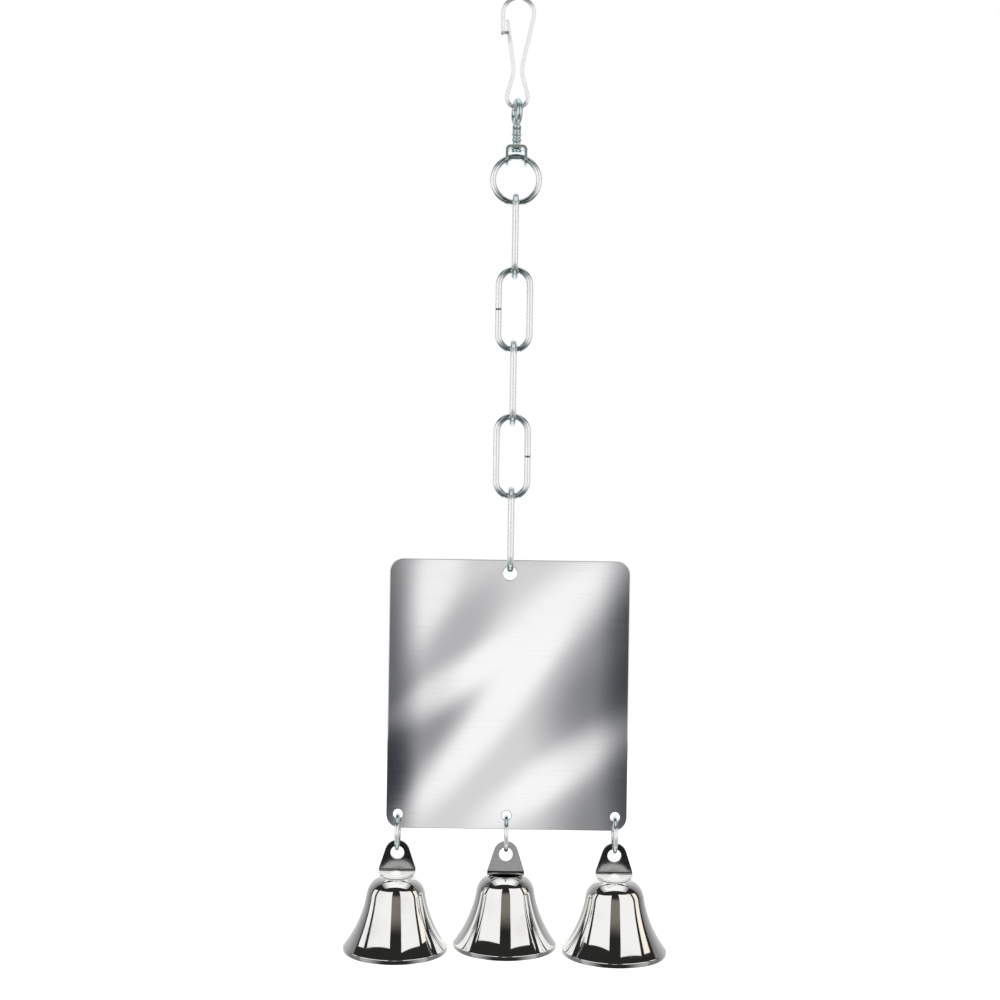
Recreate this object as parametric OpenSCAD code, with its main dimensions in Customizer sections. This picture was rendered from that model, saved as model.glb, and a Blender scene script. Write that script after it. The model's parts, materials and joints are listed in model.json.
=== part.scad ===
// Hanging bird mirror: a snap hook, a swivel and a short chain carry a flat steel mirror with three bells.
// Millimetres, +Z up. The origin is where the hook's loop rests on a cage bar.

/* [Hook] */
// Diameter of the hook's spring wire
hook_wire_d = 1; // [0.8:0.05:1.1]
// Radius of the large loop, to the middle of the wire
hook_loop_r = 3.9; // [3.6:0.1:4.6]
// Radius of the small loop at the foot, to the middle of the wire
hook_foot_r = 2.6; // [2.4:0.1:3]
// Distance between the centres of the two loops
hook_span = 20.9; // [19:0.1:24]
// Depth of the waist below the centre of the large loop
hook_waist_drop = 14.1; // [13:0.1:15]
// Half the distance between the legs at the waist, to the middle of the wires
hook_waist_half = 1.04; // [0.95:0.01:1.3]
// Bend radius of the waist, to the middle of the wire
hook_waist_r = 6; // [4:0.1:7]
// Length of the arm that comes down from the large loop
hook_arm_len = 4.6; // [3.5:0.1:5.5]
// Lean of the arm towards the middle, in degrees
hook_arm_lean = 1; // [0:0.5:3]
// Depth of the spring leg's tip below the centre of the large loop
hook_tip_drop = 1.8; // [1:0.1:2.5]
// Reach of the catch in front of the spring leg
hook_catch_len = 0.9; // [0.6:0.1:1.4]

/* [Swivel] */
// Radius of the swivel's eye, to the middle of the wire
eye_r = 2.7; // [2.4:0.1:3.4]
// Diameter of the wire of the swivel's eye
eye_wire_d = 1.7; // [1.4:0.1:2]
// Turn of the eye about the vertical, in degrees
eye_turn = 12; // [0:1:20]
// Length of the barrel under the eye
barrel_len = 5.6; // [4:0.1:8]
// Diameter of the barrel at its upper end
barrel_top_d = 2.2; // [1.9:0.1:2.6]
// Diameter of the barrel at its lower end
barrel_end_d = 1.9; // [1.7:0.1:2.4]
// Diameter of the turned beads' section on the barrel
bead_d = 0.5; // [0.3:0.05:0.7]
// Distance between the two beads, and from the lower one to the barrel's end
bead_pitch = 1.35; // [1:0.05:1.8]
// Diameter of the shank that turns in the yoke
shank_d = 1.4; // [1:0.1:1.6]
// Diameter of the peened head under the yoke
head_d = 2.5; // [2.1:0.1:3]
// Thickness of the peened head
head_t = 0.75; // [0.5:0.05:1.2]
// Width of the yoke across its ears
yoke_w = 5.4; // [5:0.1:6.4]
// Width of the yoke's strap, front to back
yoke_depth = 4; // [3.6:0.1:5]
// Thickness of the yoke's strap
yoke_t = 0.7; // [0.5:0.05:0.9]
// Outer bend radius of the yoke's corners
yoke_bend_r = 1.2; // [1:0.05:1.4]
// Outer diameter of the ring
ring_d = 13; // [12:0.1:16]
// Diameter of the ring's wire
ring_wire_d = 1.5; // [1.2:0.05:1.6]

/* [Chain] */
// Outer length of a link
link_len = 21.65; // [18:0.05:26]
// Outer width of a link
link_w = 9.4; // [8.6:0.1:12]
// Diameter of the links' wire
link_wire_d = 1.6; // [1.3:0.05:1.8]
// Width of the butt seam in a link or ring
seam_w = 0.15; // [0.05:0.05:0.3]

/* [Mirror] */
// Width of the mirror plate
plate_w = 60; // [57:0.5:80]
// Height of the mirror plate
plate_h = 67.3; // [50:0.1:90]
// Thickness of the mirror plate
plate_t = 0.8; // [0.5:0.05:1]
// Corner radius of the mirror plate
plate_corner_r = 3.4; // [1:0.1:6]
// Diameter of the hole for the chain
chain_hole_d = 3.5; // [3.2:0.1:5]
// Metal left between the chain's hole and the top edge
chain_hole_edge = 1.6; // [1:0.1:2.2]
// Diameter of the holes for the bell rings
bell_hole_d = 2.4; // [2.2:0.1:3]
// Metal left between a bell ring's hole and the bottom edge
bell_hole_edge = 2.3; // [1.5:0.1:2.4]
// Distance between neighbouring bells
bell_pitch = 27.1; // [26.6:0.1:27.4]

/* [Bell rings] */
// Outer diameter of a bell ring
bell_ring_d = 9.3; // [8.8:0.1:12]
// Diameter of a bell ring's wire
bell_ring_wire_d = 1.1; // [0.8:0.05:1.2]

/* [Bells] */
// Diameter of the bell's mouth
bell_mouth_d = 25.9; // [22:0.1:26.1]
// Height of the bell from its mouth to its crown
bell_h = 18.2; // [17:0.1:21]
// Height of the upright lip at the mouth
bell_lip_h = 1.2; // [0.6:0.1:1.6]
// Radius of the bell where the flare meets the shoulder
bell_waist_r = 7.35; // [6.8:0.05:8]
// Height of that place above the mouth
bell_waist_h = 14; // [13:0.1:15]
// Radius of the flat crown
bell_crown_r = 4.2; // [3.6:0.1:4.6]
// Radius of the flare's hollow curve
bell_flare_r = 28.2; // [24:0.1:40]
// Thickness of the bell's wall
bell_wall = 0.6; // [0.4:0.05:0.8]

/* [Bell hangers] */
// Thickness of the hanger's strip
hanger_t = 0.8; // [0.6:0.05:1]
// Inner bend radius between the hanger's foot and its tab
hanger_bend_r = 0.6; // [0.4:0.05:0.9]
// Lean of the tab over the foot, in degrees
hanger_lean = 6; // [0:1:10]
// Width of the hanger at its bend
hanger_base_w = 9.2; // [8:0.1:9.6]
// Radius of the foot round the rivet
hanger_foot_r = 3.4; // [2.9:0.1:3.8]
// Radius of the tab's rounded top
hanger_top_r = 3.1; // [2.8:0.1:3.2]
// Diameter of the tab's hole
hanger_hole_d = 3.4; // [3:0.1:3.8]
// Metal left above the tab's hole
hanger_hole_edge = 1.5; // [1:0.1:1.8]
// Height of the tab's hole above the crown
hanger_hole_h = 5.4; // [5:0.1:7]
// Diameter of the rivet's shank
rivet_d = 2.2; // [1.8:0.1:2.4]
// Diameter of the rivet's head
rivet_head_d = 3.4; // [3:0.1:3.8]
// Height of the rivet's domed head
rivet_head_h = 0.5; // [0.3:0.05:0.8]
// Diameter of the rivet's collar under the crown
rivet_collar_d = 3.6; // [3:0.1:4]
// Thickness of the rivet's collar
rivet_collar_t = 0.5; // [0.3:0.05:0.6]
// Thickness of the rivet's flat eye
rivet_eye_t = 0.8; // [0.6:0.05:1]
// Drop of the rivet's eye below the crown's outer face
rivet_eye_drop = 3; // [2.8:0.1:3.2]
// Diameter of the hole in the rivet's eye
rivet_eye_hole_d = 2; // [1.8:0.1:2.2]
// Metal left round the hole in the rivet's eye
rivet_eye_edge = 1.1; // [1:0.05:1.3]

/* [Clappers] */
// Diameter of the clapper's eye wire
clapper_wire_d = 0.9; // [0.7:0.05:1]
// Radius of the clapper's eye, to the middle of the wire
clapper_eye_r = 1.8; // [1.7:0.05:2]
// Diameter of the clapper's straight shank
clapper_shank_d = 0.8; // [0.6:0.05:0.85]
// Diameter of the clapper's ball
clapper_ball_d = 5.6; // [4.6:0.1:6]
// Distance from the eye's top wire to the middle of the ball
clapper_len = 7.4; // [7:0.1:8]
// Diameter of the upset end that holds the ball
clapper_end_d = 1.6; // [1.2:0.1:2]
// Height of the upset end
clapper_end_h = 0.4; // [0.3:0.05:0.6]

/* [Clearances] */
// Gap between a hanging piece and the wire that carries it
hang_gap = 0.12; // [0.08:0.01:0.2]
// Gap between the spring leg and the arm or its catch
latch_gap = 0.1; // [0.05:0.01:0.2]
// Width of the parting between the two halves of the hook at the foot
split_gap = 0.06; // [0.04:0.01:0.1]
// Running gap above and below the yoke's strap
swivel_gap = 0.15; // [0.1:0.01:0.3]
// Gap around the shank in the yoke, and around the clapper's shank in its ball
shank_gap = 0.08; // [0.05:0.01:0.15]
// Gap between the ring and the holes in the yoke's ears
ear_gap = 0.12; // [0.08:0.01:0.2]
// Gap between the ring and the peened head above it
ring_head_gap = 0.3; // [0.2:0.05:0.6]
// Gap around the rivet's shank in the hanger and the crown
rivet_gap = 0.05; // [0.02:0.01:0.1]

/* [Hidden] */
$fn = 64;
arc_steps = 10;
link_count = 5;
sides = ["left", "middle", "right"];
turned_bell = "middle";
plating = [0.84, 0.87, 0.86];
mirror_steel = [0.74, 0.74, 0.75];
bell_chrome = [0.80, 0.80, 0.79];
clapper_steel = [0.55, 0.55, 0.54];

// Hook, from the bar down. Its straight runs end inside the bends, so they are a hair slimmer.
hook_run_inset = 0.02;
hook_lap = 0.2;
hook_wire_r = hook_wire_d / 2;
hook_run_r = hook_wire_r - hook_run_inset;
loop_z = hook_wire_r - hook_loop_r;
foot_z = loop_z - hook_span;
foot_wire_z = foot_z - hook_foot_r;
loop_c = [0, loop_z];
waist_c = [hook_waist_half + hook_waist_r, loop_z - hook_waist_drop];
foot_c = [0, foot_z];
split_angle = asin(split_gap / 2 / hook_foot_r);
catch_bend_r = (hook_wire_d + latch_gap) / 2;
tip_inset = hook_wire_d + latch_gap + hook_tip_drop * tan(hook_arm_lean);
tip_c = [hook_loop_r - tip_inset, loop_z - hook_tip_drop];

// Swivel
eye_wire_r = eye_wire_d / 2;
eye_z = hung_below(foot_wire_z, hook_wire_r, eye_wire_r) - eye_r;
barrel_top_z = eye_z - eye_r;
barrel_end_z = barrel_top_z - barrel_len;
yoke_top_z = barrel_end_z - swivel_gap;
head_top_z = yoke_top_z - yoke_t - swivel_gap;
head_end_z = head_top_z - head_t;
ring_wire_r = ring_wire_d / 2;
ring_r = ring_d / 2 - ring_wire_r;
ring_z = head_end_z - ring_head_gap - ring_d / 2;
ring_wire_z = ring_z - ring_r;
ear_x = (yoke_w - yoke_t) / 2;
ear_tilt = asin(ear_x / ring_r);
ear_hole_z = ring_z + ring_r * cos(ear_tilt);
ear_hole_r = ring_wire_r / cos(ear_tilt) + yoke_t / 2 * tan(ear_tilt) + ear_gap;

// Where the butt seams of the rings lie, in degrees round the ring
ring_seam_angle = -118;
bell_ring_seam_angle = 130;

// Chain
link_wire_r = link_wire_d / 2;
link_half_w = link_w / 2 - link_wire_r;
link_run = link_len - link_w;
link_wire_drop = link_len - link_wire_d;
link_pitch = link_wire_drop - link_wire_d - hang_gap;
first_link_z = hung_below(ring_wire_z, ring_wire_r, link_wire_r);
last_wire_z = first_link_z - (link_count - 1) * link_pitch - link_wire_drop;

// Mirror
chain_hole_z = last_wire_z + link_wire_r + hang_gap - chain_hole_d / 2;
plate_top_z = chain_hole_z + chain_hole_d / 2 + chain_hole_edge;
plate_bottom_z = plate_top_z - plate_h;
bell_hole_z = plate_bottom_z + bell_hole_edge + bell_hole_d / 2;

// Bell rings swing about the middle of the metal under their holes
bell_ring_wire_r = bell_ring_wire_d / 2;
bell_ring_r = bell_ring_d / 2 - bell_ring_wire_r;
bell_ring_pivot_z = plate_bottom_z + bell_hole_edge / 2;
bell_ring_top_z = bell_ring_pivot_z + norm([plate_t, bell_hole_edge]) / 2 + hang_gap + bell_ring_wire_r;
bell_ring_wire_z = bell_ring_top_z - 2 * bell_ring_r;

// Bells
hanger_hole_r = hanger_hole_d / 2;
hanger_hole_z = bell_ring_wire_z + bell_ring_wire_r + hang_gap - hanger_hole_r * cos(hanger_lean);
crown_z = hanger_hole_z - hanger_hole_h;
mouth_z = crown_z - bell_h;
lip_r = bell_mouth_d / 2;
lip_point = [lip_r, bell_lip_h];
waist_point = [bell_waist_r, bell_waist_h];
flare_chord = waist_point - lip_point;
flare_side = [flare_chord[1], -flare_chord[0]] / norm(flare_chord);
flare_reach = sqrt(pow(bell_flare_r, 2) - pow(norm(flare_chord) / 2, 2));
flare_c = (lip_point + waist_point) / 2 + flare_reach * flare_side;
flare_lip_angle = angle_to(flare_c, lip_point);
flare_waist_angle = angle_to(flare_c, waist_point);
crown_point = [bell_crown_r, bell_h];
shoulder_angle = flare_waist_angle + 180;
shoulder_out = [cos(shoulder_angle), sin(shoulder_angle)];
shoulder_chord = crown_point - waist_point;
shoulder_r = -(shoulder_chord * shoulder_chord) / (2 * shoulder_out * shoulder_chord);
shoulder_c = waist_point - shoulder_r * shoulder_out;
inner_shoulder_r = shoulder_r - bell_wall;
inner_crown_angle = asin((bell_h - bell_wall - shoulder_c[1]) / inner_shoulder_r);
inner_lip_r = lip_r - bell_wall;
inner_flare_r = bell_flare_r + bell_wall;
inner_lip_angle = -180 + acos((flare_c[0] - inner_lip_r) / inner_flare_r);

// Bell hangers, from the crown up. The bend starts behind the rivet's head, and the ring's wire rests
// under the top of the tab's hole.
bend_c = [rivet_head_d / 2 + rivet_gap, hanger_t + hanger_bend_r];
bend_outer_r = hanger_bend_r + hanger_t;
bend_middle_r = hanger_bend_r + hanger_t / 2;
hanger_hole_run = (hanger_hole_h - bend_c[1] - bend_middle_r * sin(hanger_lean)) / cos(hanger_lean);
hanger_hole_back = bend_c[0] + bend_middle_r * cos(hanger_lean) - hanger_hole_run * sin(hanger_lean);
hanger_rest_back = hanger_hole_back - hanger_hole_r * sin(hanger_lean);
hanger_top_h = hanger_hole_h + hanger_hole_r + hanger_hole_edge;
hanger_top_c = [0, hanger_top_h - hanger_top_r];
hanger_base = [hanger_base_w / 2, bend_c[1]];
hanger_side_angle = angle_to(hanger_top_c, hanger_base)
    + acos(hanger_top_r / norm(hanger_base - hanger_top_c));
rivet_hole_r = rivet_d / 2 + rivet_gap;
rivet_dome_r = (pow(rivet_head_d / 2, 2) + pow(rivet_head_h, 2)) / (2 * rivet_head_h);
rivet_dome_c = [0, hanger_t + rivet_head_h - rivet_dome_r];
rivet_eye_r = rivet_eye_hole_d / 2 + rivet_eye_edge;

// Clappers
clapper_wire_r = clapper_wire_d / 2;
clapper_pivot_z = crown_z - rivet_eye_drop - rivet_eye_hole_d / 2 + hang_gap + clapper_wire_r;
clapper_eye_z = clapper_pivot_z - clapper_eye_r;
ball_r = clapper_ball_d / 2;
ball_z = clapper_pivot_z - clapper_len;

// Height of the top wire of a piece that hangs on another piece's lowest wire
function hung_below(wire_z, wire_r, own_wire_r) = wire_z + wire_r + hang_gap + own_wire_r;

function angle_to(from, to) = atan2(to[1] - from[1], to[0] - from[0]);

function on_circle(c, r, a) = c + r * [cos(a), sin(a)];

// Points along an arc, without the first one where skip is 1
function arc(c, r, from, to, skip = 0) =
    [for (i = [skip : arc_steps]) on_circle(c, r, from + (to - from) * i / arc_steps)];

// Where a straight run that left a bend of the other hand meets the waist's bend, as an angle on the bend
function run_in(from_c, from_r) =
    angle_to(from_c, waist_c) - acos(-(from_r + hook_waist_r) / norm(waist_c - from_c));

// Where the straight run to the foot's bend leaves the waist's bend, as an angle on both bends
function run_out() =
    angle_to(waist_c, foot_c) - acos((hook_waist_r + hook_foot_r) / norm(foot_c - waist_c));

// Round wire on a circle about Z
module wire_arc(r, wire_r, from = 0, to = 360)
    rotate([0, 0, from])
        rotate_extrude(angle = to - from)
            translate([r, 0])
                circle(wire_r);

// Straight round wire between two points of the XY plane
module wire_run(a, b, wire_r)
    translate([a[0], a[1], 0])
        rotate([0, 90, angle_to(a, b)])
            cylinder(h = norm(b - a), r = wire_r);

// Lifts what is drawn in the XY plane into the XZ plane
module stand()
    rotate([90, 0, 0])
        children();

// Straight run of the hook that reaches a little way into the bends at its ends
module hook_run(a, b) {
    lap = hook_lap * (b - a) / norm(b - a);
    wire_run(a - lap, b + lap, hook_run_r);
}

// Right leg of the hook: from a start bend, round the waist and along half of the small loop
module hook_leg(start_c, start_r) {
    enter = run_in(start_c, start_r);
    leave = run_out();
    hook_run(on_circle(start_c, start_r, enter + 180), on_circle(waist_c, hook_waist_r, enter));
    translate(waist_c)
        wire_arc(hook_waist_r, hook_wire_r, enter, leave);
    hook_run(on_circle(waist_c, hook_waist_r, leave), on_circle(foot_c, hook_foot_r, leave + 180));
    translate(foot_c)
        wire_arc(hook_foot_r, hook_wire_r, split_angle - 90, leave + 180);
}

// Arm that comes down beside the spring leg, with a catch that turns in front of it
module hook_arm()
    translate([-hook_loop_r, 0, 0]) {
        translate([0, 0, -hook_arm_len])
            cylinder(h = hook_arm_len + hook_lap, r = hook_run_r);
        translate([0, -catch_bend_r, -hook_arm_len])
            rotate([0, -90, 0])
                wire_arc(catch_bend_r, hook_run_r, 90, 180);
        translate([catch_bend_r, -catch_bend_r, -hook_arm_len - catch_bend_r])
            wire_arc(catch_bend_r, hook_run_r, 180, 270);
        translate([catch_bend_r, -2 * catch_bend_r, -hook_arm_len - catch_bend_r])
            rotate([0, 90, 0])
                cylinder(h = hook_catch_len, r = hook_run_r);
    }

module hook_body()
    color(plating) {
        stand() {
            translate(loop_c)
                wire_arc(hook_loop_r, hook_wire_r, run_in(loop_c, hook_loop_r) + 180, 180 + hook_arm_lean);
            hook_leg(loop_c, hook_loop_r);
        }
        translate([0, 0, loop_z])
            rotate([0, -hook_arm_lean, 0])
                hook_arm();
    }

module hook_spring_leg()
    color(plating)
        mirror([1, 0, 0])
            stand()
                hook_leg(tip_c, 0);

// Radius of the barrel's taper at a height above its end
function barrel_r(h) =
    barrel_end_d / 2 + (barrel_top_d - barrel_end_d) / 2 * h / (barrel_len - eye_wire_r);

module swivel_eye()
    color(plating) {
        translate([0, 0, eye_z])
            rotate([0, 90, eye_turn])
                wire_arc(eye_r, eye_wire_r);
        rotate_extrude()
            polygon([
                [0, barrel_top_z],
                [shank_d / 2, barrel_top_z],
                [barrel_top_d / 2, barrel_top_z - eye_wire_r],
                [barrel_end_d / 2, barrel_end_z],
                [shank_d / 2, barrel_end_z],
                [shank_d / 2, head_top_z],
                [head_d / 2, head_top_z],
                [head_d / 2, head_end_z],
                [0, head_end_z]
            ]);
        for (k = [1, 2])
            translate([0, 0, barrel_end_z + k * bead_pitch])
                wire_arc(barrel_r(k * bead_pitch), bead_d / 2);
    }

// Ear outline about its hole, with Y to the right and Z up
module ear_outline()
    polygon(concat(
        arc([0, 0], yoke_depth / 2, 180, 360),
        [
            [yoke_depth / 2, yoke_top_z - yoke_bend_r - ear_hole_z],
            [-yoke_depth / 2, yoke_top_z - yoke_bend_r - ear_hole_z]
        ]
    ));

module yoke_half() {
    translate([0, -yoke_depth / 2, yoke_top_z - yoke_t])
        cube([yoke_w / 2 - yoke_bend_r, yoke_depth, yoke_t]);
    translate([yoke_w / 2 - yoke_bend_r, yoke_depth / 2, yoke_top_z - yoke_bend_r])
        stand()
            linear_extrude(yoke_depth)
                intersection() {
                    difference() {
                        circle(yoke_bend_r);
                        circle(yoke_bend_r - yoke_t);
                    }
                    square(yoke_bend_r);
                }
    translate([ear_x - yoke_t / 2, 0, ear_hole_z])
        rotate([90, 0, 90])
            linear_extrude(yoke_t)
                ear_outline();
}

module swivel_yoke()
    color(plating)
        difference() {
            union() {
                yoke_half();
                mirror([1, 0, 0])
                    yoke_half();
            }
            translate([0, 0, ear_hole_z])
                rotate([0, 90, 0])
                    cylinder(h = 2 * yoke_w, r = ear_hole_r, center = true);
            translate([0, 0, yoke_top_z])
                cylinder(h = 4 * yoke_t, r = shank_d / 2 + shank_gap, center = true);
        }

// Thin cut across a wire, where its ends meet
module seam(wire_d)
    cube([2 * wire_d, seam_w, 2 * wire_d], center = true);

module swivel_ring()
    color(plating)
        translate([0, 0, ring_z])
            stand()
                difference() {
                    wire_arc(ring_r, ring_wire_r);
                    rotate([0, 0, ring_seam_angle])
                        translate([ring_r, 0, 0])
                            seam(ring_wire_d);
                }

// Oblong link in the XY plane, hanging down from the middle of its top wire, with its seam on one leg
module oblong_link(seam_side)
    difference() {
        union() {
            translate([0, -link_half_w])
                wire_arc(link_half_w, link_wire_r, 0, 180);
            translate([0, -link_half_w - link_run])
                wire_arc(link_half_w, link_wire_r, 180, 360);
            for (side = [-1, 1])
                wire_run(
                    [side * link_half_w, -link_half_w - link_run],
                    [side * link_half_w, -link_half_w],
                    link_wire_r
                );
        }
        translate([seam_side * link_half_w, -link_half_w - link_run / 2, 0])
            seam(link_wire_d);
    }

// Odd links stand edge-on to the front, even links face it
module chain_link(i)
    color(plating)
        translate([0, 0, first_link_z - (i - 1) * link_pitch])
            rotate([0, 0, i % 2 == 1 ? 90 : 0])
                stand()
                    oblong_link(i % 4 == 2 ? -1 : 1);

module mirror_plate() {
    side_c = plate_w / 2 - plate_corner_r;
    top_c = plate_top_z - plate_corner_r;
    bottom_c = plate_bottom_z + plate_corner_r;
    color(mirror_steel)
        stand()
            linear_extrude(plate_t, center = true)
                difference() {
                    polygon(concat(
                        arc([side_c, top_c], plate_corner_r, 0, 90),
                        arc([-side_c, top_c], plate_corner_r, 90, 180),
                        arc([-side_c, bottom_c], plate_corner_r, 180, 270),
                        arc([side_c, bottom_c], plate_corner_r, 270, 360)
                    ));
                    translate([0, chain_hole_z])
                        circle(d = chain_hole_d);
                    for (i = [-1 : 1])
                        translate([i * bell_pitch, bell_hole_z])
                            circle(d = bell_hole_d);
                }
}

module bell_ring()
    color(plating)
        translate([0, 0, bell_ring_top_z - bell_ring_r])
            rotate([0, 90, 0])
                difference() {
                    wire_arc(bell_ring_r, bell_ring_wire_r);
                    rotate([0, 0, bell_ring_seam_angle])
                        translate([bell_ring_r, 0, 0])
                            seam(bell_ring_wire_d);
                }

module bell_shell()
    color(bell_chrome)
        difference() {
            translate([0, 0, mouth_z])
                rotate_extrude()
                    polygon(concat(
                        [[lip_r, 0]],
                        arc(flare_c, bell_flare_r, flare_lip_angle, flare_waist_angle),
                        arc(shoulder_c, shoulder_r, shoulder_angle, angle_to(shoulder_c, crown_point), 1),
                        [[0, bell_h], [0, bell_h - bell_wall]],
                        arc(shoulder_c, inner_shoulder_r, inner_crown_angle, shoulder_angle),
                        arc(flare_c, inner_flare_r, flare_waist_angle, inner_lip_angle, 1),
                        [[inner_lip_r, 0]]
                    ));
            translate([0, 0, crown_z])
                cylinder(h = 4 * bell_wall, r = rivet_hole_r, center = true);
        }

// Side profile of the bent strip: the foot on the crown, the bend, and the tab that leans over the foot
module hanger_profile() {
    tab_end = 2 * hanger_top_h;
    tab_way = [-sin(hanger_lean), cos(hanger_lean)];
    tab_face = [cos(hanger_lean), sin(hanger_lean)];
    polygon(concat(
        [[-hanger_foot_r, hanger_t], [-hanger_foot_r, 0]],
        arc(bend_c, bend_outer_r, -90, hanger_lean),
        [
            bend_c + bend_outer_r * tab_face + tab_end * tab_way,
            bend_c + hanger_bend_r * tab_face + tab_end * tab_way
        ],
        arc(bend_c, hanger_bend_r, hanger_lean, -90)
    ));
}

// Front outline of the tab and the bend
module hanger_front()
    polygon(concat(
        [[hanger_base[0], 0], hanger_base],
        arc(hanger_top_c, hanger_top_r, hanger_side_angle, 180 - hanger_side_angle),
        [[-hanger_base[0], hanger_base[1]], [-hanger_base[0], 0]]
    ));

// Plan of the foot, round about the rivet and as wide as the bend at its back
module hanger_plan() {
    back = bend_c[0] + 2 * bend_outer_r;
    polygon(concat(
        arc([0, 0], hanger_foot_r, 180, 360),
        [[hanger_base[0], bend_c[0]], [hanger_base[0], back]],
        [[-hanger_base[0], back], [-hanger_base[0], bend_c[0]]]
    ));
}

module bell_hanger()
    color(bell_chrome)
        translate([0, 0, crown_z])
            difference() {
                intersection() {
                    rotate([90, 0, 90])
                        linear_extrude(hanger_base_w, center = true)
                            hanger_profile();
                    stand()
                        linear_extrude(4 * hanger_foot_r, center = true)
                            hanger_front();
                    linear_extrude(2 * hanger_top_h)
                        hanger_plan();
                }
                translate([0, hanger_hole_back, hanger_hole_h])
                    rotate([90 + hanger_lean, 0, 0])
                        cylinder(h = 4 * hanger_t, r = hanger_hole_r, center = true);
                cylinder(h = 4 * hanger_t, r = rivet_hole_r, center = true);
            }

// Rivet with a domed head on the hanger's foot, a collar under the crown and a flat eye below it
module bell_rivet()
    color(bell_chrome)
        translate([0, 0, crown_z]) {
            rotate_extrude()
                polygon(concat(
                    [[0, -bell_wall - rivet_collar_t]],
                    [[rivet_collar_d / 2, -bell_wall - rivet_collar_t], [rivet_collar_d / 2, -bell_wall]],
                    [[rivet_d / 2, -bell_wall], [rivet_d / 2, hanger_t]],
                    arc(rivet_dome_c, rivet_dome_r, acos(rivet_head_d / 2 / rivet_dome_r), 90)
                ));
            stand()
                translate([0, -rivet_eye_drop])
                    linear_extrude(rivet_eye_t, center = true)
                        difference() {
                            circle(rivet_eye_r);
                            circle(d = rivet_eye_hole_d);
                        }
        }

module clapper_wire()
    color(clapper_steel) {
        translate([0, 0, clapper_eye_z])
            rotate([0, 90, 0])
                wire_arc(clapper_eye_r, clapper_wire_r);
        translate([0, 0, ball_z - ball_r])
            cylinder(h = clapper_eye_z - clapper_eye_r - ball_z + ball_r, d = clapper_shank_d);
        translate([0, 0, ball_z - ball_r - clapper_end_h])
            cylinder(h = clapper_end_h, d = clapper_end_d);
    }

module clapper_ball()
    color(clapper_steel)
        translate([0, 0, ball_z])
            difference() {
                sphere(ball_r);
                cylinder(h = 2 * clapper_ball_d, d = clapper_shank_d + 2 * shank_gap, center = true);
            }

hook_body();
hook_spring_leg();
swivel_eye();
swivel_yoke();
swivel_ring();
mirror_plate();
for (i = [1 : link_count])
    chain_link(i);
for (i = [0 : 2])
    translate([(i - 1) * bell_pitch, 0, 0]) {
        bell_ring();
        rotate([0, 0, sides[i] == turned_bell ? 180 : 0])
            translate([0, -hanger_rest_back, 0]) {
                bell_shell();
                bell_hanger();
                bell_rivet();
                clapper_wire();
                clapper_ball();
            }
    }
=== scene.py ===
"""Finished looks of a hanging bird mirror with three bells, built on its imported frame.
"""
import json
import math

import bmesh
import bpy
from mathutils import Matrix, Vector

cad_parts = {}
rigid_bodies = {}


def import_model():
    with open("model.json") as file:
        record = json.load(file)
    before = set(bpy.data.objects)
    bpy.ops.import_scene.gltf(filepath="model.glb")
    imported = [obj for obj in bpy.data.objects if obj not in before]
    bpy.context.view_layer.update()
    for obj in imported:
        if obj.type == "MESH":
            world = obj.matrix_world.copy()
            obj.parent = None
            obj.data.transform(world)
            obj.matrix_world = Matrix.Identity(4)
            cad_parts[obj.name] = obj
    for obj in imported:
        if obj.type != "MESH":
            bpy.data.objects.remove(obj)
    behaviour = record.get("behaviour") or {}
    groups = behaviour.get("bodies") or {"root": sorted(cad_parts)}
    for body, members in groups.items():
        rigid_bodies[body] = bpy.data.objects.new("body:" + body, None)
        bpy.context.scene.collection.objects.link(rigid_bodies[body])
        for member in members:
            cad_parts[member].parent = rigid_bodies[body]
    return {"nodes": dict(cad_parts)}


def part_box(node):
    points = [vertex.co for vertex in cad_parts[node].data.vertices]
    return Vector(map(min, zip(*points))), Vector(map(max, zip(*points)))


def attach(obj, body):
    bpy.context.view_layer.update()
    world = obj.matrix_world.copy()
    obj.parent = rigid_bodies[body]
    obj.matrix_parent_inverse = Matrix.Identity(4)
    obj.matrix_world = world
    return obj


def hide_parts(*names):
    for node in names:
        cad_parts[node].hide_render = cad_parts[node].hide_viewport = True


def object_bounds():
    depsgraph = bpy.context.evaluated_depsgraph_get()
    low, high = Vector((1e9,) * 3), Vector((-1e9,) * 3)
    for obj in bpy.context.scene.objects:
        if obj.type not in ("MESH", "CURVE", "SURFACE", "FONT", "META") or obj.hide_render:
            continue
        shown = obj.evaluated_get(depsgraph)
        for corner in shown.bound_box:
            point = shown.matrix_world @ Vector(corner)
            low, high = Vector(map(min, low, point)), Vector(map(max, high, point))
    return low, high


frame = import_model()
cad_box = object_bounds()

bl_info = {
    "name": "Bird mirror looks",
    "version": (1, 0, 0),
    "blender": (4, 5, 0),
    "location": "View3D > Sidebar > Bird mirror",
    "description": "Builds the finished pieces, the finishes and the stage of a hanging bird mirror",
    "category": "Object",
}

MM = 0.001
FULL_TURN = 2 * math.pi
RIGHT_ANGLE = math.pi / 2
SIDES = ("left", "middle", "right")
ALONG_X = Vector((1, 0, 0))
ALONG_Y = Vector((0, 1, 0))
UP = Vector((0, 0, 1))

# Points closer than this, in metres, become one.
MERGE = 1e-6
# A corner that turns less than twice this, in radians, isn't rounded.
NEARLY_STRAIGHT = 1e-3
# Faces that meet at less than the first angle are one; edges sharper than the second are rounded.
SAME_FACE = math.radians(1.0)
STAMPED_EDGE = math.radians(35.0)
STAMPED_STEPS = 3
# A face of the plate is flat when its normal points this straight to the front or the back.
PLATE_FACE = 0.999
PLATE_EDGE_STEPS = 2
# Steps on each of the catch's two bends, and the number of beads on the swivel's barrel.
CATCH_STEPS = 8
BEADS = 2

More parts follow.
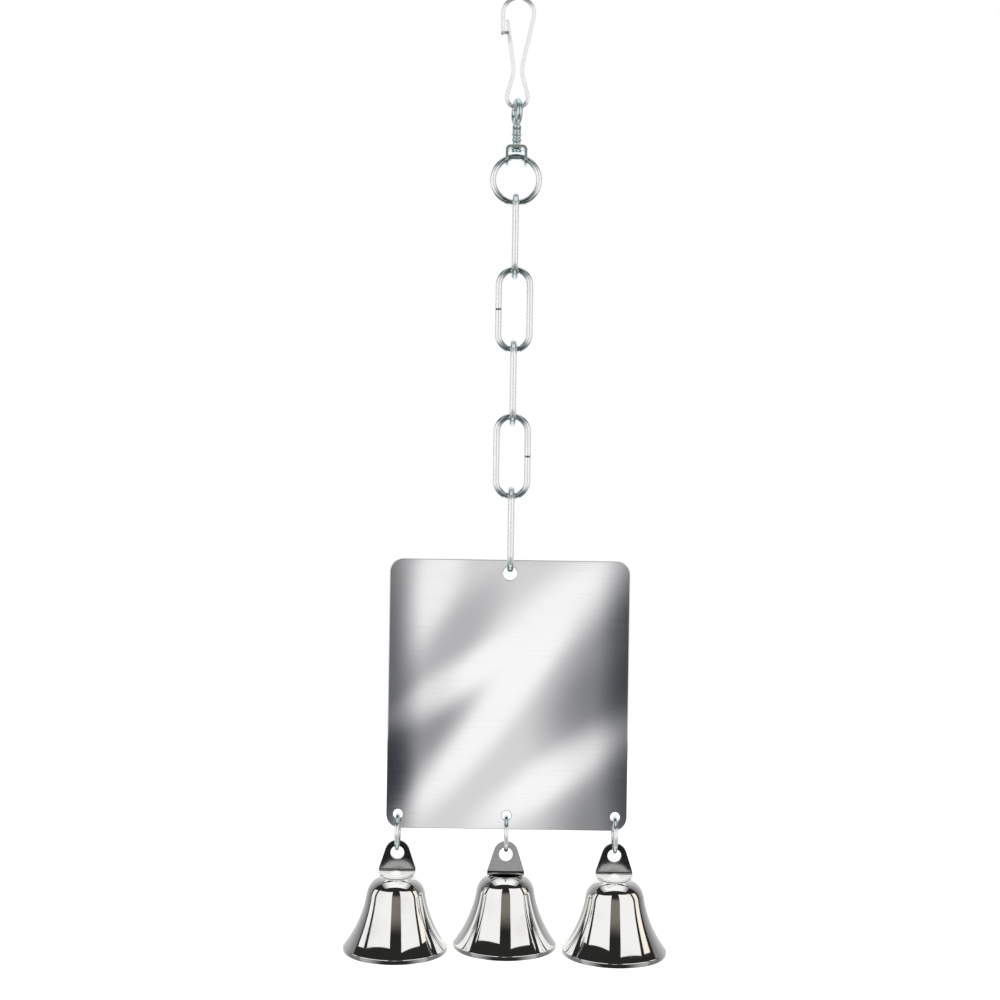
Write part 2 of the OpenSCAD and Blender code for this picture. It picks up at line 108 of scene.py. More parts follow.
# Places of the lamps, what they aim at and the nearest that the camera sees, in metres.
KEY_PLACE = Vector((-0.5, -0.6, 0.9))
FILL_PLACE = Vector((0.8, -0.6, 0.35))
LAMP_AIM = Vector((0, 0, -0.15))
NEAREST_SEEN = 0.01
# Most degrees between the corners of a curved card.
CARD_STEP = 3
WHITE = (1.0, 1.0, 1.0)
WARM_GREY = (1.0, 0.98, 0.95)


# Settings

def length(name, description, millimetres):
    """A length property, given in millimetres."""
    return bpy.props.FloatProperty(
        name=name, description=description, default=millimetres * MM, min=0.0, precision=5,
        unit="LENGTH")


def turn(name, description, degrees):
    """An angle property, given in degrees."""
    return bpy.props.FloatProperty(
        name=name, description=description, default=math.radians(degrees), subtype="ANGLE")


def share(name, description, default):
    """A property between 0 and 1."""
    return bpy.props.FloatProperty(
        name=name, description=description, default=default, min=0.0, max=1.0, subtype="FACTOR")


def level(name, description, default):
    """A brightness property."""
    return bpy.props.FloatProperty(
        name=name, description=description, default=default, min=0.0, subtype="NONE")


def colour(name, description, default):
    """A colour property."""
    return bpy.props.FloatVectorProperty(
        name=name, description=description, default=default, min=0.0, max=1.0, size=3,
        subtype="COLOR")


def count(name, description, default):
    """A whole-number property."""
    return bpy.props.IntProperty(
        name=name, description=description, default=default, min=3, subtype="UNSIGNED")


class DetailSettings(bpy.types.PropertyGroup):
    """How finely wires and turned pieces are built."""

    wire_sides: count("Wire sides", "Sides of a round wire", 32)
    turn_steps: count("Turn steps", "Steps on a full turn of a path", 96)
    lathe_steps: count("Lathe steps", "Segments round a turned piece", 160)
    round_steps: count("Round steps", "Steps on a rounded edge", 6)
    cut_round: share("Cut rounding", "Rounding of a cut wire end, as a share of the wire's radius", 0.25)
    seam: length("Seam", "Gap between the butted ends of a ring or a link", 0.04)


class HookSettings(bpy.types.PropertyGroup):
    """Bends of the snap hook, to the middle of its wire."""

    loop_r: length("Loop radius", "Radius of the large loop", 3.9)
    foot_r: length("Foot radius", "Radius of the small loop at the foot", 2.6)
    span: length("Span", "Distance between the centres of the two loops", 20.9)
    waist_drop: length("Waist drop", "Depth of the waist below the centre of the large loop", 14.1)
    waist_half: length("Waist half width", "Half the distance between the legs at the waist", 1.04)
    waist_r: length("Waist radius", "Bend radius of the waist", 6.0)
    arm_len: length("Arm length", "Length of the arm that comes down from the large loop", 4.6)
    arm_lean: turn("Arm lean", "Lean of the arm towards the middle", 1.0)
    tip_drop: length("Tip drop", "Depth of the spring leg's tip below the centre of the large loop", 1.8)
    catch_len: length("Catch length", "Reach of the catch in front of the spring leg", 0.9)
    latch_gap: length("Latch gap", "Gap between the catch and the spring leg", 0.1)
    split_gap: length("Split gap", "Gap between the two halves of the small loop", 0.06)
    end_round: share("End rounding", "Rounding of the hook's ends, as a share of the wire's radius", 0.6)


class SwivelSettings(bpy.types.PropertyGroup):
    """Turned shape of the swivel's eye and barrel."""

    eye_r: length("Eye radius", "Radius of the eye, to the middle of its wire", 2.7)
    eye_wire: length("Eye wire", "Diameter of the eye's wire", 1.7)
    eye_turn: turn("Eye turn", "Turn of the eye about the vertical", 12.0)
    barrel_len: length("Barrel length", "Length of the barrel under the eye", 5.6)
    barrel_top: length("Barrel top", "Diameter of the barrel at its upper end", 2.2)
    barrel_end: length("Barrel end", "Diameter of the barrel at its lower end", 1.9)
    bead: length("Bead", "Diameter of a turned bead's section", 0.5)
    bead_pitch: length("Bead pitch", "Distance between the beads", 1.35)
    shank: length("Shank", "Diameter of the shank in the yoke", 1.4)
    head: length("Head", "Diameter of the peened head", 2.5)
    head_t: length("Head thickness", "Thickness of the peened head", 0.75)
    edge: length("Edge", "Rounding of the turned edges", 0.15)
    ring_seam: turn("Ring seam", "Place of the ring's butt seam", -118.0)
    strap_edge: length("Strap edge", "Rounding of the yoke's stamped edges", 0.09)


class PlateSettings(bpy.types.PropertyGroup):
    """Holes and edges of the mirror plate."""

    corner: length("Corner", "Corner radius of the plate", 3.4)
    edge: length("Edge", "Rounding of the plate's edges", 0.16)
    chain_hole: length("Chain hole", "Diameter of the hole for the chain", 3.5)
    chain_hole_drop: length("Chain hole drop", "Centre of the chain's hole below the plate's top", 3.35)
    bell_hole: length("Bell hole", "Diameter of a bell ring's hole", 2.4)
    bell_hole_rise: length("Bell hole rise", "Centre of a bell's hole above the plate's bottom", 3.5)


class BellSettings(bpy.types.PropertyGroup):
    """Profile of a bell, measured from its mouth and its axis."""

    waist_r: length("Waist radius", "Radius at the waist under the shoulder", 7.35)
    waist_h: length("Waist height", "Height of the waist above the mouth", 14.0)
    crown_r: length("Crown radius", "Radius of the flat crown", 4.2)
    flare_r: length("Flare radius", "Radius of the flare's hollow curve", 28.2)
    lip_h: length("Lip height", "Height of the lip", 1.2)
    wall: length("Wall", "Thickness of the bell's wall", 0.6)
    crown_hole: length("Crown hole", "Diameter of the rivet's hole in the crown", 2.3)
    lip_edge: length("Lip edge", "Rounding of the lip", 0.28)
    crown_edge: length("Crown edge", "Rounding of the crown's edge", 0.6)
    strap_edge: length("Strap edge", "Rounding of the hanger's stamped edges", 0.12)
    strap_t: length("Strap thickness", "Thickness of the hanger's strap", 0.8)
    # Within this reach the foot is painted white, a painted highlight for the crown's bright reflection.
    foot_reach: length("Foot reach", "Length of the tinned foot from the bell's axis to its bend", 1.8)
    rivet_edge: length("Rivet edge", "Rounding of the rivet's edges", 0.06)
    ring_seam: turn("Ring seam", "Place of the bell ring's butt seam", 40.0)


class ClapperSettings(bpy.types.PropertyGroup):
    """Wire of a clapper."""

    wire: length("Wire", "Diameter of the eye's wire", 0.9)
    shank: length("Shank", "Diameter of the shank through the ball", 0.8)
    end: length("End", "Diameter of the upset end under the ball", 1.6)
    end_h: length("End height", "Height of the upset end", 0.4)
    bore: length("Bore", "Diameter of the ball's bore", 0.96)
    edge: length("Edge", "Rounding of the upset end", 0.12)


class FinishSettings(bpy.types.PropertyGroup):
    """Colours and polish of the metals."""

    spring: colour("Spring wire", "Colour of the hook's wire", (0.97, 0.975, 0.97))
    # The bends' darker colour is painted shade.
    spring_bend_shade: colour("Spring bends", "Colour of the hook's bends", (0.80, 0.81, 0.81))
    spring_rough: share("Spring roughness", "Roughness of the hook's wire", 0.36)
    spring_sheen: share("Spring sheen", "Share of the light that the hook's straight legs scatter", 0.62)
    nickel: colour("Nickel", "Colour of the plated wire", (0.96, 0.985, 0.975))
    cut_end: colour("Cut ends", "Colour of the wire's cut ends", (0.2, 0.22, 0.22))
    cut_depth: length("Cut depth", "How far the bare metal of a cut end reaches", 0.3)
    # The bends' darker colour is painted shade.
    nickel_bend_shade: colour("Nickel bends", "Colour of the plating on the wire's bends", (0.6, 0.69, 0.7))
    wire_rough: share("Wire roughness", "Roughness of the wire's straight legs", 0.27)
    bend_rough: share("Bend roughness", "Roughness of the wire's bends", 0.1)
    wire_sheen: share("Wire sheen", "Share of a straight leg's light that is scattered", 0.42)
    zinc: colour("Zinc", "Colour of the swivel", (0.72, 0.83, 0.85))
    zinc_worn: colour("Worn zinc", "Colour of dull places on the swivel", (0.36, 0.45, 0.46))
    zinc_rough: share("Zinc roughness", "Roughness of the swivel", 0.2)
    zinc_sheen: share("Zinc sheen", "Share of the light that the swivel scatters", 0.12)
    steel: colour("Mirror steel", "Colour of the mirror plate", (0.82, 0.824, 0.828))
    steel_line: colour("Mirror lines", "Colour of the plate's brush lines", (0.807, 0.811, 0.816))
    steel_rough: share("Mirror roughness", "Roughness of the mirror plate", 0.035)
    chrome: colour("Chrome", "Colour of the bells", (0.93, 0.925, 0.91))
    chrome_dull: colour("Dulled chrome", "Colour of smudges on the bells", (0.84, 0.83, 0.81))
    chrome_rough: share("Chrome roughness", "Roughness of the bells", 0.03)
    # The hangers' dark colour is painted shade on their tabs; the darker rolling marks are their own.
    hanger: colour("Hanger", "Colour of the bells' hangers", (0.42, 0.42, 0.42))
    hanger_dark: colour("Hanger marks", "Colour of the hangers' rolling marks", (0.34, 0.34, 0.34))
    hanger_rough: share("Hanger roughness", "Roughness of the bells' hangers", 0.17)
    # The white of the foot and the rivets is a painted highlight; most of its light is scattered.
    painted_highlight: colour("Painted highlight", "Colour of the tinned foot under a hanger", (0.97, 0.965, 0.95))
    highlight_scatter: share("Highlight scatter", "Share of the tin's light that is scattered", 0.9)
    clapper: colour("Clapper steel", "Colour of the clappers", (0.52, 0.52, 0.51))
    clapper_dark: colour("Clapper scale", "Colour of the clappers' dull spots", (0.33, 0.33, 0.33))
    clapper_rough: share("Clapper roughness", "Roughness of the clappers", 0.2)


class StageSettings(bpy.types.PropertyGroup):
    """Camera, lamps and the cards that the metal reflects."""

    distance: length("Camera distance", "Distance of the camera from the mirror", 368.0)
    camera_left: length("Camera left", "Distance of the camera to the left of the mirror's middle", 2.8)
    camera_drop: length("Camera drop", "Depth of the camera below the hook's top", 125.0)
    field: turn("Field of view", "Field of view of the camera", 37.5)
    roll: turn("Roll", "Roll of the camera", 0.87)
    card_radius: length("Card radius", "Distance of the light panels from the object", 600.0)
    flag_radius: length("Flag radius", "Distance of the dark flags from the object", 950.0)
    floor_drop: length("Floor drop", "Distance of the floor below the bells", 1000.0)
    floor_half: length("Floor half width", "Half the width of the floor", 6000.0)
    floor_tone: colour("Floor colour", "Colour of the floor", (0.9, 0.9, 0.9))
    ambient: level("Ambient", "Brightness of the surroundings on dull surfaces", 0.62)
    panel: level("Panel", "Brightness of the light panels", 0.95)
    flag: level("Flag", "Brightness of the dark flags", 0.023)
    room: level("Room", "Brightness of the room behind the camera", 0.2)
    ground: level("Ground", "Brightness of the floor beside the dark flag in front", 0.42)
    side: level("Side", "Brightness of the grey walls beside the object, at the back", 0.6)
    key: level("Key", "Strength of the key lamp", 1.5)
    key_angle: turn("Key angle", "Width of the key lamp as the object sees it", 14.0)
    fill: level("Fill", "Power of the fill lamp in watts", 2.5)
    fill_size: length("Fill size", "Width of the fill lamp", 800.0)
    floor_glow: level("Floor glow", "Brightness that the floor adds where it is seen", 0.3)


class MirrorSettings(bpy.types.PropertyGroup):
    """All settings of the bird mirror."""

    detail: bpy.props.PointerProperty(type=DetailSettings, name="Detail")
    hook: bpy.props.PointerProperty(type=HookSettings, name="Hook")
    swivel: bpy.props.PointerProperty(type=SwivelSettings, name="Swivel")
    plate: bpy.props.PointerProperty(type=PlateSettings, name="Plate")
    bell: bpy.props.PointerProperty(type=BellSettings, name="Bell")
    clapper: bpy.props.PointerProperty(type=ClapperSettings, name="Clapper")
    finish: bpy.props.PointerProperty(type=FinishSettings, name="Finish")
    stage: bpy.props.PointerProperty(type=StageSettings, name="Stage")


# Node trees

class Value:
    """A socket that takes Python's arithmetic signs; each sign adds one or two Math nodes."""

    def __init__(self, maker, socket):
        self.maker = maker
        self.socket = socket

    def math(self, operation, *values):
        """A Math node with this value as its first input."""
        return self.maker.node(
            "ShaderNodeMath", {"operation": operation}, dict(enumerate((self, *values))))

    def __add__(self, other):
        return self.math("ADD", other)

    def __sub__(self, other):
        return self.math("SUBTRACT", other)

    def __rsub__(self, other):
        return self.math("MULTIPLY", -1.0).math("ADD", other)

    def __mul__(self, other):
        return self.math("MULTIPLY", other)

    def __truediv__(self, other):
        return self.math("DIVIDE", other)

    def __rtruediv__(self, other):
        return self.math("POWER", -1.0).math("MULTIPLY", other)

    __radd__ = __add__
    __rmul__ = __mul__


class Maker:
    """Adds nodes to one tree."""

    def __init__(self, tree):
        self.tree = tree

    def node(self, kind, settings=None, inputs=None, output=0):
        """Adds a node, sets it up, fills its inputs and returns one of its outputs as a Value."""
        made = self.tree.nodes.new(kind)
        for name, value in (settings or {}).items():
            setattr(made, name, value)
        for key, value in (inputs or {}).items():
            if isinstance(value, Value):
                self.tree.links.new(value.socket, made.inputs[key])
            else:
                made.inputs[key].default_value = value
        return Value(self, made.outputs[output]) if len(made.outputs) else None

    def vector(self, operation, *values, **named):
        """A Vector Math node."""
        inputs = {**dict(enumerate(values)), **named}
        return self.node("ShaderNodeVectorMath", {"operation": operation}, inputs)

    def parts(self, vector):
        """The X, Y and Z of a vector."""
        first = self.node("ShaderNodeSeparateXYZ", {}, {0: vector})
        return [Value(self, socket) for socket in first.socket.node.outputs]

    def mix(self, factor, first, second):
        """A colour between two colours, each of them three numbers or a Value."""
        first, second = [tone if isinstance(tone, Value) else (*tone, 1.0) for tone in (first, second)]
        return self.node(
            "ShaderNodeMix", {"data_type": "RGBA"}, {0: factor, 6: first, 7: second}, output=2)

    def noise(self, vector, detail, roughness=0.5):
        """Noise between 0 and 1, one unit of the vector wide."""
        return self.node(
            "ShaderNodeTexNoise", {},
            {"Vector": vector, "Scale": 1.0, "Detail": detail, "Roughness": roughness})

    def between(self, value, low, high, to_low=0.0, to_high=1.0):
        """A value brought smoothly from one range to another."""
        return self.node(
            "ShaderNodeMapRange", {"interpolation_type": "SMOOTHSTEP"},
            {"Value": value, "From Min": low, "From Max": high, "To Min": to_low, "To Max": to_high})


def settled(carrier):
    """The plain mesh that an object and its modifiers give. The object and its data are removed."""
    bpy.context.scene.collection.objects.link(carrier)
    graph = bpy.context.evaluated_depsgraph_get()
    mesh = bpy.data.meshes.new_from_object(carrier.evaluated_get(graph), depsgraph=graph)
    bpy.data.batch_remove((carrier, carrier.data))
    return mesh


class Shape:
    """A Geometry Nodes tree that turns a drawn curve into a finished mesh."""

    def __init__(self, name, sockets):
        self.tree = bpy.data.node_groups.new(name, "GeometryNodeTree")
        self.make = Maker(self.tree)
        self.keys = {}
        new_socket = self.tree.interface.new_socket
        new_socket("Geometry", in_out="INPUT", socket_type="NodeSocketGeometry")
        for label, kind in sockets.items():
            item = new_socket(label, in_out="INPUT", socket_type=f"NodeSocket{kind}")
            self.keys[label] = item.identifier
        new_socket("Geometry", in_out="OUTPUT", socket_type="NodeSocketGeometry")

    def given(self, label):
        """One of the tree's inputs."""
        return self.make.node("NodeGroupInput", output=label)

    def stored(self, geometry, name, kind, value):
        """The geometry with a value stored on its points."""
        return self.make.node(
            "GeometryNodeStoreNamedAttribute", {"data_type": kind, "domain": "POINT"},
            {"Geometry": geometry, "Name": name, "Value": value})

    def close(self, mesh):
        """Ends the tree with smooth faces, real geometry and the material."""
        smooth = self.make.node("GeometryNodeSetShadeSmooth", {}, {"Geometry": mesh})
        real = self.make.node("GeometryNodeRealizeInstances", {}, {"Geometry": smooth})
        done = self.make.node(
            "GeometryNodeSetMaterial", {}, {"Geometry": real, "Material": self.given("Material")})
        self.make.node("NodeGroupOutput", {}, {"Geometry": done})

    def grow(self, curve, values):
        """The mesh that the tree makes from a curve."""
        carrier = bpy.data.objects.new("carrier", curve)
        modifier = carrier.modifiers.new("shape", "NODES")
        modifier.node_group = self.tree
        for label, value in values.items():
            modifier[self.keys[label]] = value
        return settled(carrier)


def wire_shape():
    """Round wire along a path.

    Attributes keep the place round the wire and along it, how steeply it rises and how far an end is.
    """
    shape = Shape("wire_along_path", {"Wire Radius": "Float", "Sides": "Int", "Material": "Material"})
    make = shape.make
    along = make.node("GeometryNodeSplineParameter", output="Length")
    to_end = along.math("MINIMUM", make.node("GeometryNodeSplineLength", output="Length") - along)
    steep = make.parts(make.node("GeometryNodeInputTangent"))[2].math("ABSOLUTE")
    path = shape.given("Geometry")
    for name, value in (("wire_run", along), ("wire_rise", steep), ("wire_end", to_end)):
        path = shape.stored(path, name, "FLOAT", value)
    ring = make.node(
        "GeometryNodeCurvePrimitiveCircle", {"mode": "RADIUS"},
        {"Resolution": shape.given("Sides"), "Radius": shape.given("Wire Radius")})
    section = shape.stored(ring, "wire_turn", "FLOAT_VECTOR", make.node("GeometryNodeInputPosition"))
    shape.close(make.node(
        "GeometryNodeCurveToMesh", {},
        {"Curve": path, "Profile Curve": section, "Scale": make.node("GeometryNodeInputRadius"),
         "Fill Caps": True}))
    return shape


def lathe_shape():
    """A profile in the XZ plane, turned about the vertical and set down in its place."""
    shape = Shape("lathe_profile", {"Segments": "Int", "Place": "Vector", "Material": "Material"})
    make = shape.make
    profile = shape.given("Geometry")
    points = make.node(
        "GeometryNodeAttributeDomainSize", {"component": "CURVE"}, {"Geometry": profile},
        output="Point Count")
    columns = make.node(
        "FunctionNodeIntegerMath", {"operation": "ADD"}, {0: shape.given("Segments"), 1: 1})
    grid = make.node("GeometryNodeMeshGrid", {}, {"Vertices X": points, "Vertices Y": columns})
    index = make.node("GeometryNodeInputIndex")
    row = make.node("FunctionNodeIntegerMath", {"operation": "DIVIDE_FLOOR"}, {0: index, 1: columns})
    column = make.node("FunctionNodeIntegerMath", {"operation": "MODULO"}, {0: index, 1: columns})
    drawn = make.node(
        "GeometryNodeSampleIndex", {"data_type": "FLOAT_VECTOR", "domain": "POINT"},
        {"Geometry": profile, "Value": make.node("GeometryNodeInputPosition"), "Index": row})
    turned = make.node(
        "ShaderNodeVectorRotate", {"rotation_type": "Z_AXIS"},
        {"Vector": drawn, "Angle": column * FULL_TURN / shape.given("Segments")})
    placed = make.node(
        "GeometryNodeSetPosition", {},
        {"Geometry": grid, "Position": make.vector("ADD", turned, shape.given("Place"))})
    shape.close(make.node("GeometryNodeMergeByDistance", {}, {"Geometry": placed, "Distance": MERGE}))
    return shape


# Paths and profiles

def flat(x, z):
    """A point of the XZ plane."""
    return Vector((x, 0, z))


def on_circle(centre, radius, angle, across=ALONG_X):
    """A point of a standing circle; angle 0 is on the side that across points to."""
    return centre + radius * (math.cos(angle) * across + math.sin(angle) * UP)


def arc(centre, radius, start, end, steps, across=ALONG_X):
    """Points along a standing arc, with so many steps to a full turn."""
    number = max(2, math.ceil(abs(end - start) / FULL_TURN * steps))
    angles = [start + (end - start) * k / number for k in range(number + 1)]
    return [on_circle(centre, radius, angle, across) for angle in angles]


def quarter_turn(steps):
    """Angles from 0 to a right angle."""
    return [RIGHT_ANGLE * k / steps for k in range(steps + 1)]


def path_angle(start, end):
    """Direction from one point of the XZ plane to another."""
    return math.atan2(end.z - start.z, end.x - start.x)


def sharp(points):
    """Corners of a profile that stay as they are."""
    return [(point, 0) for point in points]


def rounded(corners, steps):
    """A profile in the XZ plane. Each corner is a point and the radius that rounds it."""
    points = []
    for number, (corner, radius) in enumerate(corners):
        if radius <= 0 or number in (0, len(corners) - 1):
            points.append(corner)
            continue
        back = (corners[number - 1][0] - corner).normalized()
        ahead = (corners[number + 1][0] - corner).normalized()
        half = math.acos(max(-1.0, min(1.0, back.dot(ahead)))) / 2
        if half > RIGHT_ANGLE - NEARLY_STRAIGHT:
            points.append(corner)
            continue
        middle = corner + (back + ahead).normalized() * radius / math.sin(half)
        first = corner + back * radius / math.tan(half)
        last = corner + ahead * radius / math.tan(half)
        begin = path_angle(middle, first)
        sweep = (path_angle(middle, last) - begin + math.pi) % FULL_TURN - math.pi
        points.extend(on_circle(middle, radius, begin + sweep * k / steps) for k in range(steps + 1))
    return points


def drawn_curve(points, radii=None):
    """A curve of straight steps through the points."""
    curve = bpy.data.curves.new("path", "CURVE")
    curve.dimensions = "3D"
    spline = curve.splines.new("POLY")
    spline.points.add(len(points) - 1)
    for number, (place, point) in enumerate(zip(points, spline.points)):
        point.co = (*place, 1.0)
        point.radius = radii[number] if radii else 1.0
    return curve


def wire_mesh(shape, points, wire_r, material, detail, round_ends=None):
    """A round wire along the points, with its cut ends rounded."""
    edge = wire_r * (detail.cut_round if round_ends is None else round_ends)
    tips = (points[0], points[-1])
    ends = []
    for tip, beside in zip(tips, (points[1], points[-2])):
        inward = (beside - tip).normalized()
        ends.append([
            (tip + inward * edge * (1 - math.cos(angle)), 1 - edge / wire_r * (1 - math.sin(angle)))
            for angle in quarter_turn(detail.round_steps)])
    # A path point inside the rounding of an end would fold the wire back on itself.
    body = [(p, 1.0) for p in points[1:-1] if min((p - tip).length for tip in tips) > edge]
    run = ends[0] + body + ends[1][::-1]
    curve = drawn_curve([place for place, _ in run], [radius for _, radius in run])
    return shape.grow(curve, {"Wire Radius": wire_r, "Sides": detail.wire_sides, "Material": material})


def lathe_mesh(shape, profile, place, material, detail):
    """A turned piece with its faces outward."""
    mesh = shape.grow(
        drawn_curve(profile), {"Segments": detail.lathe_steps, "Place": place, "Material": material})
    edit(mesh, lambda work: bmesh.ops.recalc_face_normals(work, faces=work.faces[:]))
    return mesh


def edit(mesh, change):
    """Changes a mesh through bmesh."""
    work = bmesh.new()
    work.from_mesh(mesh)
    change(work)
    work.to_mesh(mesh)
    work.free()


def joined(meshes):
    """One mesh from several that share a material."""
    work = bmesh.new()
    for mesh in meshes:
        work.from_mesh(mesh)
    work.to_mesh(meshes[0])
    work.free()
    for mesh in meshes[1:]:
        bpy.data.meshes.remove(mesh)
    return meshes[0]


def closed_ring(centre, radius, across, detail):
    """Path of a ring that starts and ends at its foot."""
    return arc(centre, radius, -RIGHT_ANGLE, 3 * RIGHT_ANGLE, detail.turn_steps, across)


def seamed_ring(centre, radius, across, seam_angle, detail):
    """Path of a wire ring with a butt seam."""
    start = seam_angle + detail.seam / 2 / radius
    end = seam_angle + FULL_TURN - detail.seam / 2 / radius
    return arc(centre, radius, start, end, detail.turn_steps, across)


def seamed_link(centre, half_width, half_run, across, seam_side, detail):
    """Path of an oblong link with a butt seam in the middle of one leg."""
    side = seam_side * across
    above = centre + half_run * UP
    below = centre - half_run * UP
    gap = detail.seam / 2 * UP
    return [
        centre + half_width * side + gap,
        *arc(above, half_width, 0, math.pi, detail.turn_steps, side),
        *arc(below, half_width, math.pi, FULL_TURN, detail.turn_steps, side),
        centre + half_width * side - gap,
    ]


def middle_of(node):
    """Middle and size of a node's box."""
    low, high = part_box(node)
    return (low + high) / 2, high - low


def add_piece(name, mesh, body, slot, *nodes):
    """Puts a finished mesh on its body in place of the nodes that it stands for."""
    mesh.name = name
    piece = bpy.data.objects.new(name, mesh)
    bpy.context.scene.collection.objects.link(piece)
    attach(piece, body)
    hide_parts(*nodes)


def softened(node, edge, material, is_highlighted=None):
    """A copy of a node's mesh with its stamped edges rounded.

    Where a test is given, an attribute marks the faces whose middle it accepts; they get a painted
    highlight.
    """
    mesh = frame["nodes"][node].data.copy()
    if "custom_normal" in mesh.attributes:
        mesh.attributes.remove(mesh.attributes["custom_normal"])

    def clean(work):
        bmesh.ops.remove_doubles(work, verts=work.verts[:], dist=MERGE)
        bmesh.ops.dissolve_limit(work, angle_limit=SAME_FACE, verts=work.verts[:], edges=work.edges[:])
        for face in work.faces:
            face.smooth = True
            face.material_index = 0

    edit(mesh, clean)
    mesh.materials.clear()
    mesh.materials.append(material)
    carrier = bpy.data.objects.new("carrier", mesh)
    bevel = carrier.modifiers.new("edges", "BEVEL")
    bevel.width = edge
    bevel.segments = STAMPED_STEPS
    bevel.limit_method = "ANGLE"
    bevel.angle_limit = STAMPED_EDGE
    carrier.modifiers.new("normals", "WEIGHTED_NORMAL")
    done = settled(carrier)
    if is_highlighted:
        painted_highlight = done.attributes.new("highlighted", "FLOAT", "FACE")
        painted_highlight.data.foreach_set("value", [float(is_highlighted(face.center)) for face in done.polygons])
    return done


# Finishes

def new_material(name):
    """A material with an empty tree."""
    material = bpy.data.materials.new(name)
    material.use_nodes = True
    material.node_tree.nodes.clear()
    return material, Maker(material.node_tree)


def close_metal(make, base, rough, height, depth, metal=1.0):
    """Ends a material as a metal with fine relief."""
    normal = make.node("ShaderNodeBump", {}, {"Strength": 1.0, "Distance": depth, "Height": height})
    surface = make.node(
        "ShaderNodeBsdfPrincipled", {},
        {"Base Color": base, "Metallic": metal, "Roughness": rough, "Normal": normal})
    make.node("ShaderNodeOutputMaterial", {}, {"Surface": surface})


def close_glow(make, tone, strength=1.0):
    """Ends a material as a plain glow."""
    light = make.node("ShaderNodeEmission", {}, {"Color": tone, "Strength": strength})
    make.node("ShaderNodeOutputMaterial", {}, {"Surface": light})


def own_place(make):
    """The piece's own coordinates, in metres."""
    return make.node("ShaderNodeTexCoord", output="Object")


def kept(make, name, output="Fac"):
    """An attribute that the piece's mesh keeps."""
    return make.node("ShaderNodeAttribute", {"attribute_name": name}, output=output)


def grain(make, per_metre, detail, roughness=0.5):
    """Noise with so many grains a metre along X, Y and Z."""
    return make.noise(make.vector("MULTIPLY", own_place(make), per_metre), detail, roughness)


def plated_wire(name, wire_r, finish, legs, bends, leg_rough, bend_rough, sheen):
    """Plated wire: pale and satin where it stands straight, brightly polished with painted shade on its
    bends.

    Its cut ends are bare.
    """
    material, make = new_material(name)
    marks_across = 3.2
    marks_per_metre = 220.0
    lengthwise = make.node("ShaderNodeCombineXYZ", {}, {"Z": kept(make, "wire_run") * marks_per_metre})
    section = make.vector("SCALE", kept(make, "wire_turn", "Vector"), Scale=marks_across / wire_r)
    marks = make.noise(make.vector("ADD", section, lengthwise), detail=4.0, roughness=0.6)
    pits = grain(make, (3600.0, 3600.0, 3600.0), detail=2.0)
    # How steeply the wire runs paints light and shade: the bends get a darker colour as painted shade, and
    # the straight legs scatter more light.
    straight = make.between(kept(make, "wire_rise"), 0.72, 0.98)
    wear = make.between(marks, 0.5, 0.8) * 0.12
    # Worn marks move the colour towards the bends' painted shade.
    plating = make.mix(straight - wear, bends, legs)
    bare = make.between(kept(make, "wire_end"), finish.cut_depth / 2, finish.cut_depth, 1.0, 0.0)
    base = make.mix(bare, plating, finish.cut_end)
    rough = straight * (leg_rough - bend_rough) + pits * 0.06 + (bend_rough - 0.03)
    close_metal(make, base, rough, marks + pits * 0.5, 8e-6, 1.0 - straight * sheen)
    return material


def nickel_wire(name, wire_r, finish, leg_rough):
    """Nickel-plated wire of the rings and the chain."""
    return plated_wire(
        name, wire_r, finish, finish.nickel, finish.nickel_bend_shade, leg_rough, finish.bend_rough,
        finish.wire_sheen)


def rolled_sheet(make, bright, dull):
    """Colour, wear, pits and relief of sheet with faint rolling marks."""
    marks = grain(make, (500.0, 500.0, 5200.0), detail=3.0)
    pits = grain(make, (3200.0, 3200.0, 3200.0), detail=2.0)
    wear = make.between(marks, 0.5, 0.78)
    return make.mix(wear, bright, dull), wear, pits, marks + pits * 0.4


def swivel_zinc(finish):
    """Zinc-plated sheet that is rougher where it is worn."""
    material, make = new_material("swivel_zinc")
    base, wear, pits, relief = rolled_sheet(make, finish.zinc, finish.zinc_worn)
    rough = wear * 0.12 + pits * 0.06 + (finish.zinc_rough - 0.02)
    close_metal(make, base, rough, relief, 6e-6, 1.0 - finish.zinc_sheen)
    return material


def hanger_steel(finish):
    """Plated sheet with a dark colour as painted shade, and marked faces painted white as a painted
    highlight.
    """
    material, make = new_material("bell_hanger_steel")
    # The sheet's dark colour is painted shade.
    sheet, _, pits, relief = rolled_sheet(make, finish.hanger, finish.hanger_dark)
    # Marked faces are painted white and are mostly not metal: a painted highlight.
    painted_highlight = kept(make, "highlighted")
    base = make.mix(painted_highlight, sheet, finish.painted_highlight)
    rough = painted_highlight * 0.3 + pits * 0.06 + (finish.hanger_rough - 0.02)
    close_metal(make, base, rough, relief, 6e-6, 1.0 - painted_highlight * finish.highlight_scatter)
    return material


def mirror_steel(finish):
    """Polished plate with fine level brush lines and a slight wave."""
    material, make = new_material("mirror_steel")
    fine = grain(make, (90.0, 400.0, 4200.0), detail=3.0, roughness=0.65)
    broad = grain(make, (30.0, 200.0, 1500.0), detail=2.0)
    wave = grain(make, (20.0, 20.0, 24.0), detail=1.0)
    lines = make.between(fine * 0.8 + broad * 0.2, 0.4, 0.72)
    base = make.mix(lines, finish.steel, finish.steel_line)
    rough = lines * 0.025 + finish.steel_rough
    close_metal(make, base, rough, wave * 2.0 + fine * 0.006, 1.2e-5)
    return material


